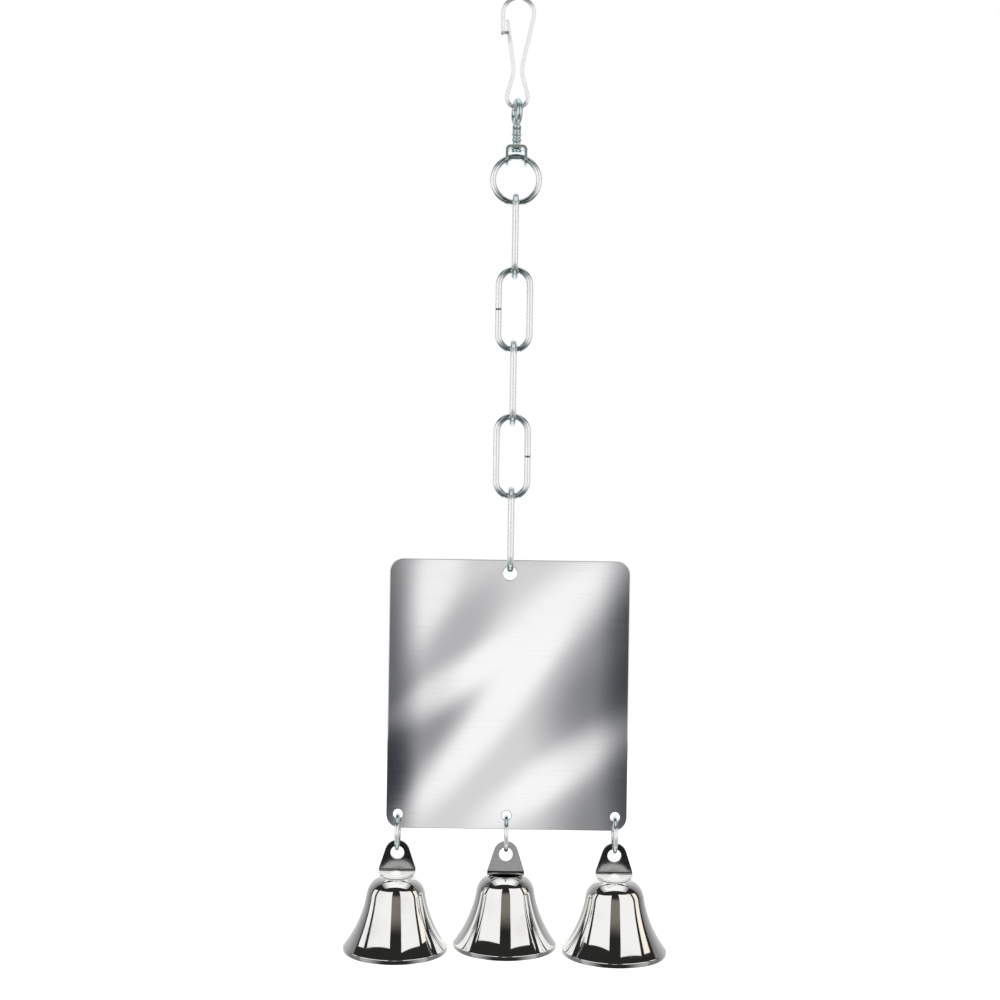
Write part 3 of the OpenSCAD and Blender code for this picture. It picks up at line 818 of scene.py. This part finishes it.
def bell_chrome(finish):
    """Chrome with a faint spun wave and a few dull smudges."""
    material, make = new_material("bell_chrome")
    wave = grain(make, (90.0, 90.0, 420.0), detail=1.0)
    smudge = make.between(grain(make, (170.0, 170.0, 120.0), detail=4.0), 0.5, 0.78)
    specks = grain(make, (2600.0, 2600.0, 2600.0), detail=1.0)
    base = make.mix(smudge, finish.chrome, finish.chrome_dull)
    rough = smudge * 0.05 + specks * 0.02 + finish.chrome_rough
    close_metal(make, base, rough, wave + specks * 0.01, 1.2e-5)
    return material


def clapper_steel(finish):
    """Plain steel with dull spots."""
    material, make = new_material("clapper_steel")
    spots = make.between(grain(make, (900.0, 900.0, 900.0), detail=4.0), 0.45, 0.7)
    pits = grain(make, (4200.0, 4200.0, 4200.0), detail=2.0)
    base = make.mix(spots, finish.clapper, finish.clapper_dark)
    rough = spots * 0.16 + pits * 0.08 + finish.clapper_rough
    close_metal(make, base, rough, pits, 1.2e-5)
    return material


# Pieces

class PieceOperator:
    """What the operators share."""

    bl_options = {"REGISTER", "UNDO"}

    def execute(self, context):
        self.build(context.scene.bird_mirror)
        return {"FINISHED"}


class BuildHook(PieceOperator, bpy.types.Operator):
    """Build the snap hook and its spring leg from bent wire"""

    bl_idname = "bird_mirror.hook"
    bl_label = "Build hook"

    def build(self, settings):
        sizes = settings.hook
        detail = settings.detail
        finish = settings.finish
        low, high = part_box("hook_spring_leg")
        wire_r = (high.y - low.y) / 2
        loop_c = flat(0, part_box("hook_body")[1].z - wire_r - sizes.loop_r)
        metal = plated_wire(
            "spring_wire_nickel", wire_r, finish, finish.spring, finish.spring_bend_shade,
            finish.spring_rough, finish.spring_rough, finish.spring_sheen)
        shape = wire_shape()
        body = [*self.arm(sizes, loop_c, wire_r), *self.loop(sizes, loop_c, detail)]
        body += self.leg(sizes, loop_c, loop_c, sizes.loop_r, detail)
        mesh = wire_mesh(shape, body, wire_r, metal, detail, sizes.end_round)
        add_piece("hook_bent_wire", mesh, "hook", "spring_wire", "hook_body")
        inset = 2 * wire_r + sizes.latch_gap + sizes.tip_drop * math.tan(sizes.arm_lean)
        tip = loop_c + flat(sizes.loop_r - inset, -sizes.tip_drop)
        leg = [Vector((-p.x, p.y, p.z)) for p in self.leg(sizes, loop_c, tip, 0.0, detail)]
        mesh = wire_mesh(shape, leg, wire_r, metal, detail, sizes.end_round)
        add_piece("hook_bent_leg", mesh, "spring_leg", "spring_wire", "hook_spring_leg")

    def loop(self, sizes, loop_c, detail):
        """Points over the large loop, from the arm to the run down to the waist."""
        end = self.run_in(sizes, loop_c, loop_c, sizes.loop_r) + math.pi
        return arc(loop_c, sizes.loop_r, math.pi + sizes.arm_lean, end, detail.turn_steps)

    def arm(self, sizes, loop_c, wire_r):
        """Points from the catch's end up the arm, which leans about the loop's centre."""
        bend_r = wire_r + sizes.latch_gap / 2
        left = -sizes.loop_r
        end_z = -sizes.arm_len - bend_r
        quarter = quarter_turn(CATCH_STEPS)
        points = [Vector((left + bend_r + sizes.catch_len, -2 * bend_r, end_z))]
        for angle in reversed(quarter):
            x = left + bend_r * (1 - math.cos(angle))
            points.append(Vector((x, -bend_r * (1 + math.sin(angle)), end_z)))
        for angle in reversed(quarter[:-1]):
            z = -sizes.arm_len - bend_r * math.sin(angle)
            points.append(Vector((left, -bend_r * (1 - math.cos(angle)), z)))
        lean = Matrix.Rotation(-sizes.arm_lean, 3, "Y")
        return [loop_c + lean @ p for p in points]

    def waist(self, sizes, loop_c):
        """Centre of the waist's bend."""
        return loop_c + flat(sizes.waist_half + sizes.waist_r, -sizes.waist_drop)

    def run_in(self, sizes, loop_c, start_c, start_r):
        """Angle on the waist's bend where the straight run from a bend of the other hand meets it."""
        waist_c = self.waist(sizes, loop_c)
        gap = (waist_c - start_c).length
        return path_angle(start_c, waist_c) - math.acos(-(start_r + sizes.waist_r) / gap)

    def leg(self, sizes, loop_c, start_c, start_r, detail):
        """Points of the right leg, from a start bend round the waist and half of the foot's loop."""
        waist_c = self.waist(sizes, loop_c)
        foot_c = loop_c - sizes.span * UP
        enter = self.run_in(sizes, loop_c, start_c, start_r)
        leave = path_angle(waist_c, foot_c) - math.acos(
            (sizes.waist_r + sizes.foot_r) / (foot_c - waist_c).length)
        split = math.asin(sizes.split_gap / 2 / sizes.foot_r) - RIGHT_ANGLE
        return [
            *([start_c] if start_r == 0 else []),
            *arc(waist_c, sizes.waist_r, enter, leave, detail.turn_steps),
            *arc(foot_c, sizes.foot_r, leave + math.pi, split, detail.turn_steps),
        ]


class BuildSwivel(PieceOperator, bpy.types.Operator):
    """Build the swivel's eye and barrel, its yoke and its ring"""

    bl_idname = "bird_mirror.swivel"
    bl_label = "Build swivel"

    def build(self, settings):
        sizes = settings.swivel
        detail = settings.detail
        finish = settings.finish
        wire = wire_shape()
        middle, size = middle_of("swivel_ring")
        wire_r = size.y / 2
        metal = nickel_wire("swivel_nickel", wire_r, finish, finish.zinc_rough)
        path = seamed_ring(middle, size.x / 2 - wire_r, ALONG_X, sizes.ring_seam, detail)
        mesh = wire_mesh(wire, path, wire_r, metal, detail)
        add_piece("swivel_split_ring", mesh, "ring", "swivel_plating", "swivel_ring")

        zinc = swivel_zinc(finish)
        low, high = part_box("swivel_eye")
        eye_wire_r = sizes.eye_wire / 2
        eye_c = flat(0, high.z - eye_wire_r - sizes.eye_r)
        across = Matrix.Rotation(sizes.eye_turn, 3, "Z") @ ALONG_Y
        eye = wire_mesh(wire, closed_ring(eye_c, sizes.eye_r, across, detail), eye_wire_r, zinc, detail)
        profile = self.barrel(sizes, eye_c.z - sizes.eye_r, low.z, detail)
        barrel = lathe_mesh(lathe_shape(), profile, Vector(), zinc, detail)
        add_piece("swivel_eye_barrel", joined([eye, barrel]), "eye", "swivel_plating", "swivel_eye")
        strap = softened("swivel_yoke", sizes.strap_edge, zinc)
        add_piece("swivel_strap", strap, "yoke", "swivel_plating", "swivel_yoke")

    def barrel(self, sizes, top, end, detail):
        """Profile of the barrel, its beads, the shank and the peened head, from axis to axis."""
        neck = top - sizes.eye_wire / 2
        foot = top - sizes.barrel_len
        end_r = sizes.barrel_end / 2
        shank_r = sizes.shank / 2
        head_r = sizes.head / 2
        head_top = end + sizes.head_t
        slope = (sizes.barrel_top - sizes.barrel_end) / 2 / (neck - foot)
        bead_r = sizes.bead / 2
        bead_steps = 12 * detail.round_steps
        side = sharp([flat(0, top), flat(shank_r, top)])
        side.append((flat(sizes.barrel_top / 2, neck), sizes.edge))
        for number in range(BEADS, 0, -1):
            rise = number * sizes.bead_pitch
            centre = flat(end_r + slope * rise, foot + rise)
            side += sharp(arc(centre, bead_r, RIGHT_ANGLE, -RIGHT_ANGLE, bead_steps))
        side += [
            (flat(end_r, foot), sizes.edge),
            *sharp([flat(shank_r, foot), flat(shank_r, head_top)]),
            (flat(head_r, head_top), sizes.edge),
            (flat(head_r, end), 2 * sizes.edge),
            (flat(0, end), 0),
        ]
        return rounded(side, detail.round_steps)


class BuildChain(PieceOperator, bpy.types.Operator):
    """Build the chain's oblong links from round wire"""

    bl_idname = "bird_mirror.chain"
    bl_label = "Build chain"

    def build(self, settings):
        detail = settings.detail
        shape = wire_shape()
        links = sorted(node for node in frame["nodes"] if node.startswith("chain_link_"))
        wire_r = min(middle_of(links[0])[1]) / 2
        metal = nickel_wire("chain_nickel", wire_r, settings.finish, settings.finish.wire_rough)
        for number, node in enumerate(links, 1):
            middle, size = middle_of(node)
            across = ALONG_X if size.x > size.y else ALONG_Y
            width = max(size.x, size.y)
            # Every fourth link, from the second on, has its seam on the other leg.
            seam_side = -1 if number % 4 == 2 else 1
            path = seamed_link(
                middle, width / 2 - wire_r, (size.z - width) / 2, across, seam_side, detail)
            mesh = wire_mesh(shape, path, wire_r, metal, detail)
            add_piece(f"chain_wire_link_{number}", mesh, f"link_{number}", "chain_plating", node)


class BuildMirror(PieceOperator, bpy.types.Operator):
    """Build the mirror plate with its holes and rounded edges"""

    bl_idname = "bird_mirror.plate"
    bl_label = "Build mirror"

    def build(self, settings):
        sizes = settings.plate
        low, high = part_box("mirror_plate")
        curve = bpy.data.curves.new("outline", "CURVE")
        curve.dimensions = "2D"
        curve.fill_mode = "BOTH"
        curve.extrude = (high.y - low.y) / 2 - sizes.edge
        curve.bevel_depth = sizes.edge
        curve.bevel_resolution = PLATE_EDGE_STEPS
        curve.offset = -sizes.edge
        steps = settings.detail.turn_steps
        right = high.x - sizes.corner
        top = high.z - sizes.corner
        bottom = low.z + sizes.corner
        outline = []
        for number, corner in enumerate(((right, top), (-right, top), (-right, bottom), (right, bottom))):
            start = number * RIGHT_ANGLE
            outline += arc(flat(*corner), sizes.corner, start, start + RIGHT_ANGLE, 2 * steps)
        self.add_spline(curve, outline)
        self.add_hole(curve, flat(0, high.z - sizes.chain_hole_drop), sizes.chain_hole / 2, steps)
        for side in SIDES:
            x = middle_of(f"bell_ring_{side}")[0].x
            self.add_hole(curve, flat(x, low.z + sizes.bell_hole_rise), sizes.bell_hole / 2, steps)
        mesh = settled(bpy.data.objects.new("carrier", curve))

        def stand_up(work):
            bmesh.ops.remove_doubles(work, verts=work.verts[:], dist=MERGE)
            bmesh.ops.transform(work, matrix=Matrix.Rotation(RIGHT_ANGLE, 4, "X"), verts=work.verts[:])
            bmesh.ops.recalc_face_normals(work, faces=work.faces[:])
            for face in work.faces:
                face.smooth = abs(face.normal.y) < PLATE_FACE

        edit(mesh, stand_up)
        mesh.materials.clear()
        mesh.materials.append(mirror_steel(settings.finish))
        add_piece("mirror_polished_plate", mesh, "mirror", "mirror_steel", "mirror_plate")

    def add_spline(self, curve, points):
        """Adds a closed outline, drawn in the XZ plane, to a flat curve."""
        spline = curve.splines.new("POLY")
        spline.points.add(len(points) - 1)
        for place, point in zip(points, spline.points):
            point.co = (place.x, place.z, 0.0, 1.0)
        spline.use_cyclic_u = True

    def add_hole(self, curve, centre, radius, steps):
        """Adds a round hole, drawn the other way round from the outline."""
        self.add_spline(curve, arc(centre, radius, 0, -FULL_TURN, steps)[:-1])


class BuildBellRings(PieceOperator, bpy.types.Operator):
    """Build the rings that carry the bells"""

    bl_idname = "bird_mirror.bell_rings"
    bl_label = "Build bell rings"

    def build(self, settings):
        detail = settings.detail
        shape = wire_shape()
        wire_r = middle_of("bell_ring_left")[1].x / 2
        metal = nickel_wire("bell_ring_nickel", wire_r, settings.finish, settings.finish.zinc_rough)
        for side in SIDES:
            node = f"bell_ring_{side}"
            middle, size = middle_of(node)
            path = seamed_ring(middle, size.z / 2 - wire_r, ALONG_Y, settings.bell.ring_seam, detail)
            mesh = wire_mesh(shape, path, wire_r, metal, detail)
            add_piece(f"bell_{side}_wire_ring", mesh, f"{side}_ring", "chain_plating", node)


class BuildBells(PieceOperator, bpy.types.Operator):
    """Build the bells with their hangers and rivets"""

    bl_idname = "bird_mirror.bells"
    bl_label = "Build bells"

    def build(self, settings):
        sizes = settings.bell
        shape = lathe_shape()
        chrome = bell_chrome(settings.finish)
        strap = hanger_steel(settings.finish)
        for side in SIDES:
            low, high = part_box(f"bell_shell_{side}")
            place = Vector(((low.x + high.x) / 2, (low.y + high.y) / 2, low.z))
            profile = self.profile(sizes, (high.x - low.x) / 2, high.z - low.z, settings.detail)
            shell = lathe_mesh(shape, profile, place, chrome, settings.detail)
            # The foot and the whole rivet are painted white, a painted highlight for the crown's bright
            # reflection.
            highlight_top = high.z + sizes.strap_t + sizes.rivet_edge
            tab_side = -math.copysign(1.0, place.y)
            hanger = softened(
                f"bell_hanger_{side}", sizes.strap_edge, strap,
                lambda at: at.z < highlight_top and tab_side * (at.y - place.y) < sizes.foot_reach)
            rivet = softened(f"bell_rivet_{side}", sizes.rivet_edge, strap, lambda at: True)
            for mesh, look, part in (
                    (shell, "spun", "shell"), (hanger, "bent", "hanger"), (rivet, "set", "rivet")):
                name = f"bell_{side}_{look}_{part}"
                add_piece(name, mesh, f"{side}_bell", "bell_chrome", f"bell_{part}_{side}")

    def profile(self, sizes, lip_r, height, detail):
        """Closed profile of the wall: lip, hollow flare, round shoulder and crown, then back inside."""
        mouth = flat(lip_r - sizes.wall, 0)
        lip = flat(lip_r, sizes.lip_h)
        waist = flat(sizes.waist_r, sizes.waist_h)
        crown = flat(sizes.crown_r, height)
        chord = waist - lip
        aside = flat(chord.z, -chord.x).normalized()
        flare_c = (lip + waist) / 2 + aside * math.sqrt(sizes.flare_r ** 2 - chord.length_squared / 4)
        waist_angle = path_angle(flare_c, waist)
        outward = waist_angle + math.pi
        out = flat(math.cos(outward), math.sin(outward))
        rise = crown - waist
        shoulder_r = -rise.length_squared / (2 * out.dot(rise))
        shoulder_c = waist - shoulder_r * out
        flare_steps = 8 * detail.turn_steps
        shoulder_steps = 2 * detail.turn_steps
        flare = arc(flare_c, sizes.flare_r, path_angle(flare_c, lip), waist_angle, flare_steps)
        shoulder = arc(shoulder_c, shoulder_r, outward, path_angle(shoulder_c, crown), shoulder_steps)
        inner_r = shoulder_r - sizes.wall
        inner_end = math.asin((height - sizes.wall - shoulder_c.z) / inner_r)
        inner_flare_r = sizes.flare_r + sizes.wall
        inner_lip = math.acos((flare_c.x - mouth.x) / inner_flare_r) - math.pi
        hole_r = sizes.crown_hole / 2
        # The arcs stop short of the lip and the crown, where the rounding needs the room.
        return rounded([
            (mouth, 0),
            (flat(lip_r, 0), sizes.lip_edge),
            (lip, sizes.lip_edge),
            *sharp(flare[2:-1]),
            *sharp(shoulder[:-4]),
            (crown, sizes.crown_edge),
            *sharp([flat(hole_r, height), flat(hole_r, height - sizes.wall)]),
            *sharp(arc(shoulder_c, inner_r, inner_end, outward, shoulder_steps)),
            *sharp(arc(flare_c, inner_flare_r, waist_angle, inner_lip, flare_steps)[1:]),
            (mouth, 0),
        ], detail.round_steps)


class BuildClappers(PieceOperator, bpy.types.Operator):
    """Build the clappers with their eyes, shanks and balls"""

    bl_idname = "bird_mirror.clappers"
    bl_label = "Build clappers"

    def build(self, settings):
        sizes = settings.clapper
        detail = settings.detail
        wire = wire_shape()
        lathe = lathe_shape()
        steel = clapper_steel(settings.finish)
        wire_r = sizes.wire / 2
        for side in SIDES:
            body = f"{side}_clapper"
            low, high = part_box(f"clapper_wire_{side}")
            axis = Vector(((low.x + high.x) / 2, (low.y + high.y) / 2, 0))
            eye_r = (high.y - low.y) / 2 - wire_r
            eye_c = axis + flat(0, high.z - wire_r - eye_r)
            eye = wire_mesh(wire, closed_ring(eye_c, eye_r, ALONG_Y, detail), wire_r, steel, detail)
            rod = lathe_mesh(lathe, self.rod(sizes, eye_c.z - eye_r, low.z, detail), axis, steel, detail)
            mesh = joined([eye, rod])
            add_piece(f"clapper_{side}_eye_rod", mesh, body, "clapper_steel", f"clapper_wire_{side}")
            middle, size = middle_of(f"clapper_ball_{side}")
            mesh = lathe_mesh(lathe, self.ball(sizes, size.x / 2, detail), middle, steel, detail)
            add_piece(f"clapper_{side}_bored_ball", mesh, body, "clapper_steel", f"clapper_ball_{side}")

    def rod(self, sizes, top, end, detail):
        """Profile of the shank and its upset end."""
        shank_r = sizes.shank / 2
        end_r = sizes.end / 2
        end_top = end + sizes.end_h
        return rounded([
            *sharp([flat(0, top), flat(shank_r, top), flat(shank_r, end_top)]),
            (flat(end_r, end_top), sizes.edge),
            (flat(end_r, end), sizes.edge),
            (flat(0, end), 0),
        ], detail.round_steps)

    def ball(self, sizes, ball_r, detail):
        """Closed profile of a ball with a bore through it."""
        end = math.acos(sizes.bore / 2 / ball_r)
        outside = arc(Vector(), ball_r, -end, end, detail.turn_steps)
        return [*outside, outside[0]]


# Stage

class BuildStage(PieceOperator, bpy.types.Operator):
    """Set up the camera, the lamps, the floor and the cards that the metal reflects"""

    bl_idname = "bird_mirror.stage"
    bl_label = "Build stage"

    def build(self, settings):
        stage = settings.stage
        self.camera(stage)
        self.world(stage)
        self.floor(stage)
        self.lamps(stage)
        self.panels(stage)
        self.pools(stage)
        bpy.context.scene.view_settings.view_transform = "Standard"

    def camera_place(self, stage):
        """Where the camera stands."""
        return Vector((-stage.camera_left, -stage.distance, -stage.camera_drop))

    def camera(self, stage):
        """The camera, level and straight on but for a slight roll."""
        data = bpy.data.cameras.new("stage_camera")
        data.angle = stage.field
        data.clip_start = NEAREST_SEEN
        camera = bpy.data.objects.new("stage_camera", data)
        camera.location = self.camera_place(stage)
        camera.rotation_euler = (RIGHT_ANGLE, -stage.roll, 0)
        bpy.context.scene.collection.objects.link(camera)
        bpy.context.scene.camera = camera

    def shown(self, make):
        """1 for rays that show a surface to the camera or in a reflection, else 0."""
        camera, glossy, through = [
            make.node("ShaderNodeLightPath", output=f"Is {kind} Ray")
            for kind in ("Camera", "Glossy", "Transmission")]
        return camera.math("MAXIMUM", glossy).math("MAXIMUM", through)

    def world(self, stage):
        """White surroundings, softer on dull surfaces."""
        world = bpy.data.worlds.new("stage_world")
        world.use_nodes = True
        world.node_tree.nodes.clear()
        make = Maker(world.node_tree)
        strength = self.shown(make) * (1.0 - stage.ambient) + stage.ambient
        white = make.node("ShaderNodeBackground", {}, {"Color": (*WHITE, 1.0), "Strength": strength})
        make.node("ShaderNodeOutputWorld", {}, {"Surface": white})
        bpy.context.scene.world = world

    def floor(self, stage):
        """A pale floor that keeps the object's shadow."""
        material, make = new_material("stage_floor")
        dull = make.node("ShaderNodeBsdfDiffuse", {}, {"Color": (*stage.floor_tone, 1.0)})
        strength = self.shown(make) * stage.floor_glow
        glow = make.node("ShaderNodeEmission", {}, {"Color": (*WHITE, 1.0), "Strength": strength})
        both = make.node("ShaderNodeAddShader", {}, {0: dull, 1: glow})
        make.node("ShaderNodeOutputMaterial", {}, {"Surface": both})
        edge = stage.floor_half
        corners = self.level_corners(-edge, edge, -edge, edge, cad_box[0].z - stage.floor_drop)
        self.card("stage_floor", corners, material, reflected_only=False)

    def lamps(self, stage):
        """A soft key lamp from above on the left and a fill lamp on the right."""
        key = bpy.data.lights.new("stage_key", "SUN")
        key.energy = stage.key
        key.angle = stage.key_angle
        fill = bpy.data.lights.new("stage_fill", "AREA")
        fill.energy = stage.fill
        fill.size = stage.fill_size
        for data, place in ((key, KEY_PLACE), (fill, FILL_PLACE)):
            lamp = bpy.data.objects.new(data.name, data)
            lamp.location = place
            lamp.rotation_euler = (LAMP_AIM - place).to_track_quat("-Z", "Y").to_euler()
            lamp.visible_glossy = False
            bpy.context.scene.collection.objects.link(lamp)

    def card(self, name, points, material, faces=((0, 1, 2, 3),), reflected_only=True):
        """A stage surface. A reflected one shows only in shiny surfaces."""
        mesh = bpy.data.meshes.new(name)
        mesh.from_pydata([tuple(p) for p in points], [], faces)
        mesh.materials.append(material)
        card = bpy.data.objects.new(name, mesh)
        bpy.context.scene.collection.objects.link(card)
        if reflected_only:
            card.visible_camera = False
            card.visible_diffuse = False
            card.visible_shadow = False

    def level_corners(self, left, right, front, back, height):
        """Corners of a level card."""
        return [(x, y, height) for x, y in ((left, front), (right, front), (right, back), (left, back))]

    def curved_card(self, name, radius, start, end, low, tops, material):
        """A card curved round the object.

        It runs between two angles in degrees from the camera's side and has a top for each of them.
        """
        steps = max(2, math.ceil(abs(end - start) / CARD_STEP))
        points = []
        for k in range(steps + 1):
            angle = math.radians(start + (end - start) * k / steps)
            for height in (low, tops[0] + (tops[1] - tops[0]) * k / steps):
                points.append((radius * math.sin(angle), -radius * math.cos(angle), height))
        faces = [(2 * k, 2 * k + 1, 2 * k + 3, 2 * k + 2) for k in range(steps)]
        self.card(name, points, material, faces)

    def glow(self, name, tone, strength):
        """A plain glowing material."""
        material, make = new_material(name)
        close_glow(make, (*tone, 1.0), strength)
        return material

    def shaded(self, name, tone, reading, start, end):
        """A glowing material that goes from one strength to another.

        The reading is HEIGHT or SIDE, the distance to either side, in metres, or TURN, the degrees
        round the object from the camera's side. The start and the end are each a reading and the
        strength there.
        """
        material, make = new_material(name)
        x, y, z = make.parts(own_place(make))
        side = x.math("ABSOLUTE")
        readings = {"HEIGHT": z, "SIDE": side, "TURN": side.math("ARCTAN2", y * -1.0) * math.degrees(1.0)}
        change = make.between(readings[reading], start[0], end[0])
        first, last = [[part * strength for part in tone] for _, strength in (start, end)]
        close_glow(make, make.mix(change, first, last))
        return material

    def panels(self, stage):
        """Two tall light panels with narrow strips beside them, dark flags between and grey side walls."""
        near = stage.card_radius
        far = stage.flag_radius
        # Heights, in metres: lower edges of the walls and of the panels, then the two level cards.
        base = -0.44
        foot = -0.28
        ceiling = 0.95
        ground_z = -0.43
        panel = self.glow("stage_panel", WHITE, stage.panel)
        cream = self.glow("stage_cream_strip", (1.0, 0.93, 0.82), 1.1 * stage.panel)
        flag = self.glow("stage_flag", WARM_GREY, stage.flag)
        front = self.shaded("stage_front", WARM_GREY, "HEIGHT", (base, 0.1), (0.0, stage.flag))
        room = self.shaded(
            "stage_room", (1.0, 0.94, 0.82), "HEIGHT", (0.0, stage.room), (0.42, stage.flag))
        side = self.shaded("stage_side", (0.98, 1.0, 1.0), "TURN", (104, 0.2), (156, stage.side))
        ground = self.shaded("stage_ground", WHITE, "TURN", (22, stage.flag), (68, stage.ground))
        overhead = self.shaded("stage_overhead", WHITE, "SIDE", (0.4, 1.0), (0.95, 0.3))
        for name, radius, start, end, low, tops, material in (
                ("left_panel", near, -78, -15, foot, (0.16, 0.38), panel),
                ("right_panel", near, 19, 74, foot, (0.48, 0.22), panel),
                ("left_strip", near, -102, -86, foot, (0.03, 0.12), panel),
                ("right_strip", near, 82, 98, foot, (0.16, 0.06), cream),
                ("room", 0.98 * far, -18, 22, base, (0.6, 0.6), room),
                ("front_flag", far, -108, 108, base, (1.0, 1.0), front),
                ("left_wall", far, -156, -108, base, (1.0, 1.0), side),
                ("right_wall", far, 108, 156, base, (1.0, 1.0), side)):
            self.curved_card(f"stage_{name}", radius, start, end, low, tops, material)
        for name, left, right, front_y, back_y, height, material in (
                ("ceiling_flag", -far, far, -far, 0.55 * far, ceiling, flag),
                ("overhead", -far, far, -0.42, 0.35, ceiling - 0.01, overhead),
                ("floor_flag", -far, far, -far, -0.12, ground_z, ground),
                ("left_floor", -far, -0.15, -0.12, 0.8, ground_z, side),
                ("right_floor", 0.15, far, -0.12, 0.8, ground_z, side)):
            corners = self.level_corners(left, right, front_y, back_y, height)
            self.card(f"stage_{name}", corners, material)

    def pools(self, stage):
        """A card behind the camera with soft pools of light, for the flat mirror to show.

        Each pool is a place on the mirror in shares of its width and height, half its length and half
        its width in shares of the mirror's width, its slope in degrees and its brightness.
        """
        pools = (
            (0.2, 0.06, 0.46, 0.14, -72, 0.12),
            (0.27, 0.3, 0.46, 0.14, -54, -0.13),
            (0.68, 0.22, 0.62, 0.2, -44, 0.15),
            (0.24, 0.47, 0.44, 0.11, -36, 0.17),
            (0.24, 0.62, 0.36, 0.07, -38, -0.04),
            (0.38, 0.64, 0.68, 0.13, -51, 0.17),
            (0.7, 0.79, 0.6, 0.13, -36, 0.18),
            (0.07, 0.73, 0.5, 0.18, -46, -0.22),
            (0.0, 0.88, 0.34, 0.16, 90, -0.2),
            (-0.05, 0.45, 1.3, 0.21, 90, -0.45),
            (0.96, 0.36, 0.66, 0.3, -60, -0.28),
            (0.82, 0.52, 0.34, 0.16, -36, -0.06),
            (1.06, 0.5, 1.3, 0.22, 90, -0.34),
            (0.96, 0.9, 0.5, 0.26, -40, -0.3),
        )
        # Brightness on a screen where there is no pool, and its limits.
        plain = 0.84
        darkest = 0.22
        brightest = 0.99
        screen_power = 2.2
        low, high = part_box("mirror_plate")
        camera = self.camera_place(stage)
        card_y = 0.05 - stage.flag_radius
        stretch = (camera.y - low.y + card_y - low.y) / (camera.y - low.y)
        left = camera.x + stretch * (low.x - camera.x)
        top = camera.z + stretch * (high.z - camera.z)
        width = stretch * (high.x - low.x)
        height = stretch * (high.z - low.z)
        material, make = new_material("stage_pools")
        x, _, z = make.parts(own_place(make))
        spot = make.node(
            "ShaderNodeCombineXYZ", {}, {"X": (x - left) / width, "Y": (top - z) / width})
        glow = None
        for across, down, long, wide, slope, bright in pools:
            moved = make.node("ShaderNodeMapping", {"vector_type": "TEXTURE"}, {
                "Vector": spot, "Location": (across, down * height / width, 0),
                "Rotation": (0, 0, math.radians(slope)), "Scale": (long, wide, 1)})
            soft = make.node(
                "ShaderNodeTexGradient", {"gradient_type": "SPHERICAL"}, {"Vector": moved}, output=1)
            part = make.between(soft, 0.0, 0.75) * bright
            glow = part if glow is None else glow + part
        bounded = (glow + plain).math("SMOOTH_MAX", darkest, 0.4).math("SMOOTH_MIN", brightest, 0.06)
        # The light is raised to make up for what the steel keeps, and tinted a little in the dark.
        light = bounded.math("POWER", screen_power)
        tone = make.vector("MULTIPLY_ADD", light, (1.17, 1.155, 1.152), (-0.004, 0.002, 0.012))
        close_glow(make, tone)
        # The card reaches a little past the part that the mirror shows.
        left -= 0.1 * width
        top += 0.02 * height
        right = left + 1.2 * width
        bottom = top - 1.12 * height
        corners = ((left, bottom), (right, bottom), (right, top), (left, top))
        self.card("stage_pools", [(x, card_y, z) for x, z in corners], material)


OPERATORS = (
    BuildHook, BuildSwivel, BuildChain, BuildMirror, BuildBellRings, BuildBells, BuildClappers,
    BuildStage)


class MirrorPanel(bpy.types.Panel):
    """Lists the steps that build the bird mirror"""

    bl_idname = "VIEW3D_PT_bird_mirror"
    bl_label = "Bird mirror"
    bl_space_type = "VIEW_3D"
    bl_region_type = "UI"
    bl_category = "Bird mirror"

    def draw(self, context):
        for operator in OPERATORS:
            self.layout.operator(operator.bl_idname)


CLASSES = (
    DetailSettings, HookSettings, SwivelSettings, PlateSettings, BellSettings, ClapperSettings,
    FinishSettings, StageSettings, MirrorSettings, *OPERATORS, MirrorPanel)


def register():
    for entry in CLASSES:
        bpy.utils.register_class(entry)
    bpy.types.Scene.bird_mirror = bpy.props.PointerProperty(type=MirrorSettings, name="Bird mirror")


def unregister():
    del bpy.types.Scene.bird_mirror
    for entry in reversed(CLASSES):
        bpy.utils.unregister_class(entry)


def main():
    register()
    for operator in OPERATORS:
        group, name = operator.bl_idname.split(".")
        getattr(getattr(bpy.ops, group), name)()


if __name__ == "__main__":
    main()
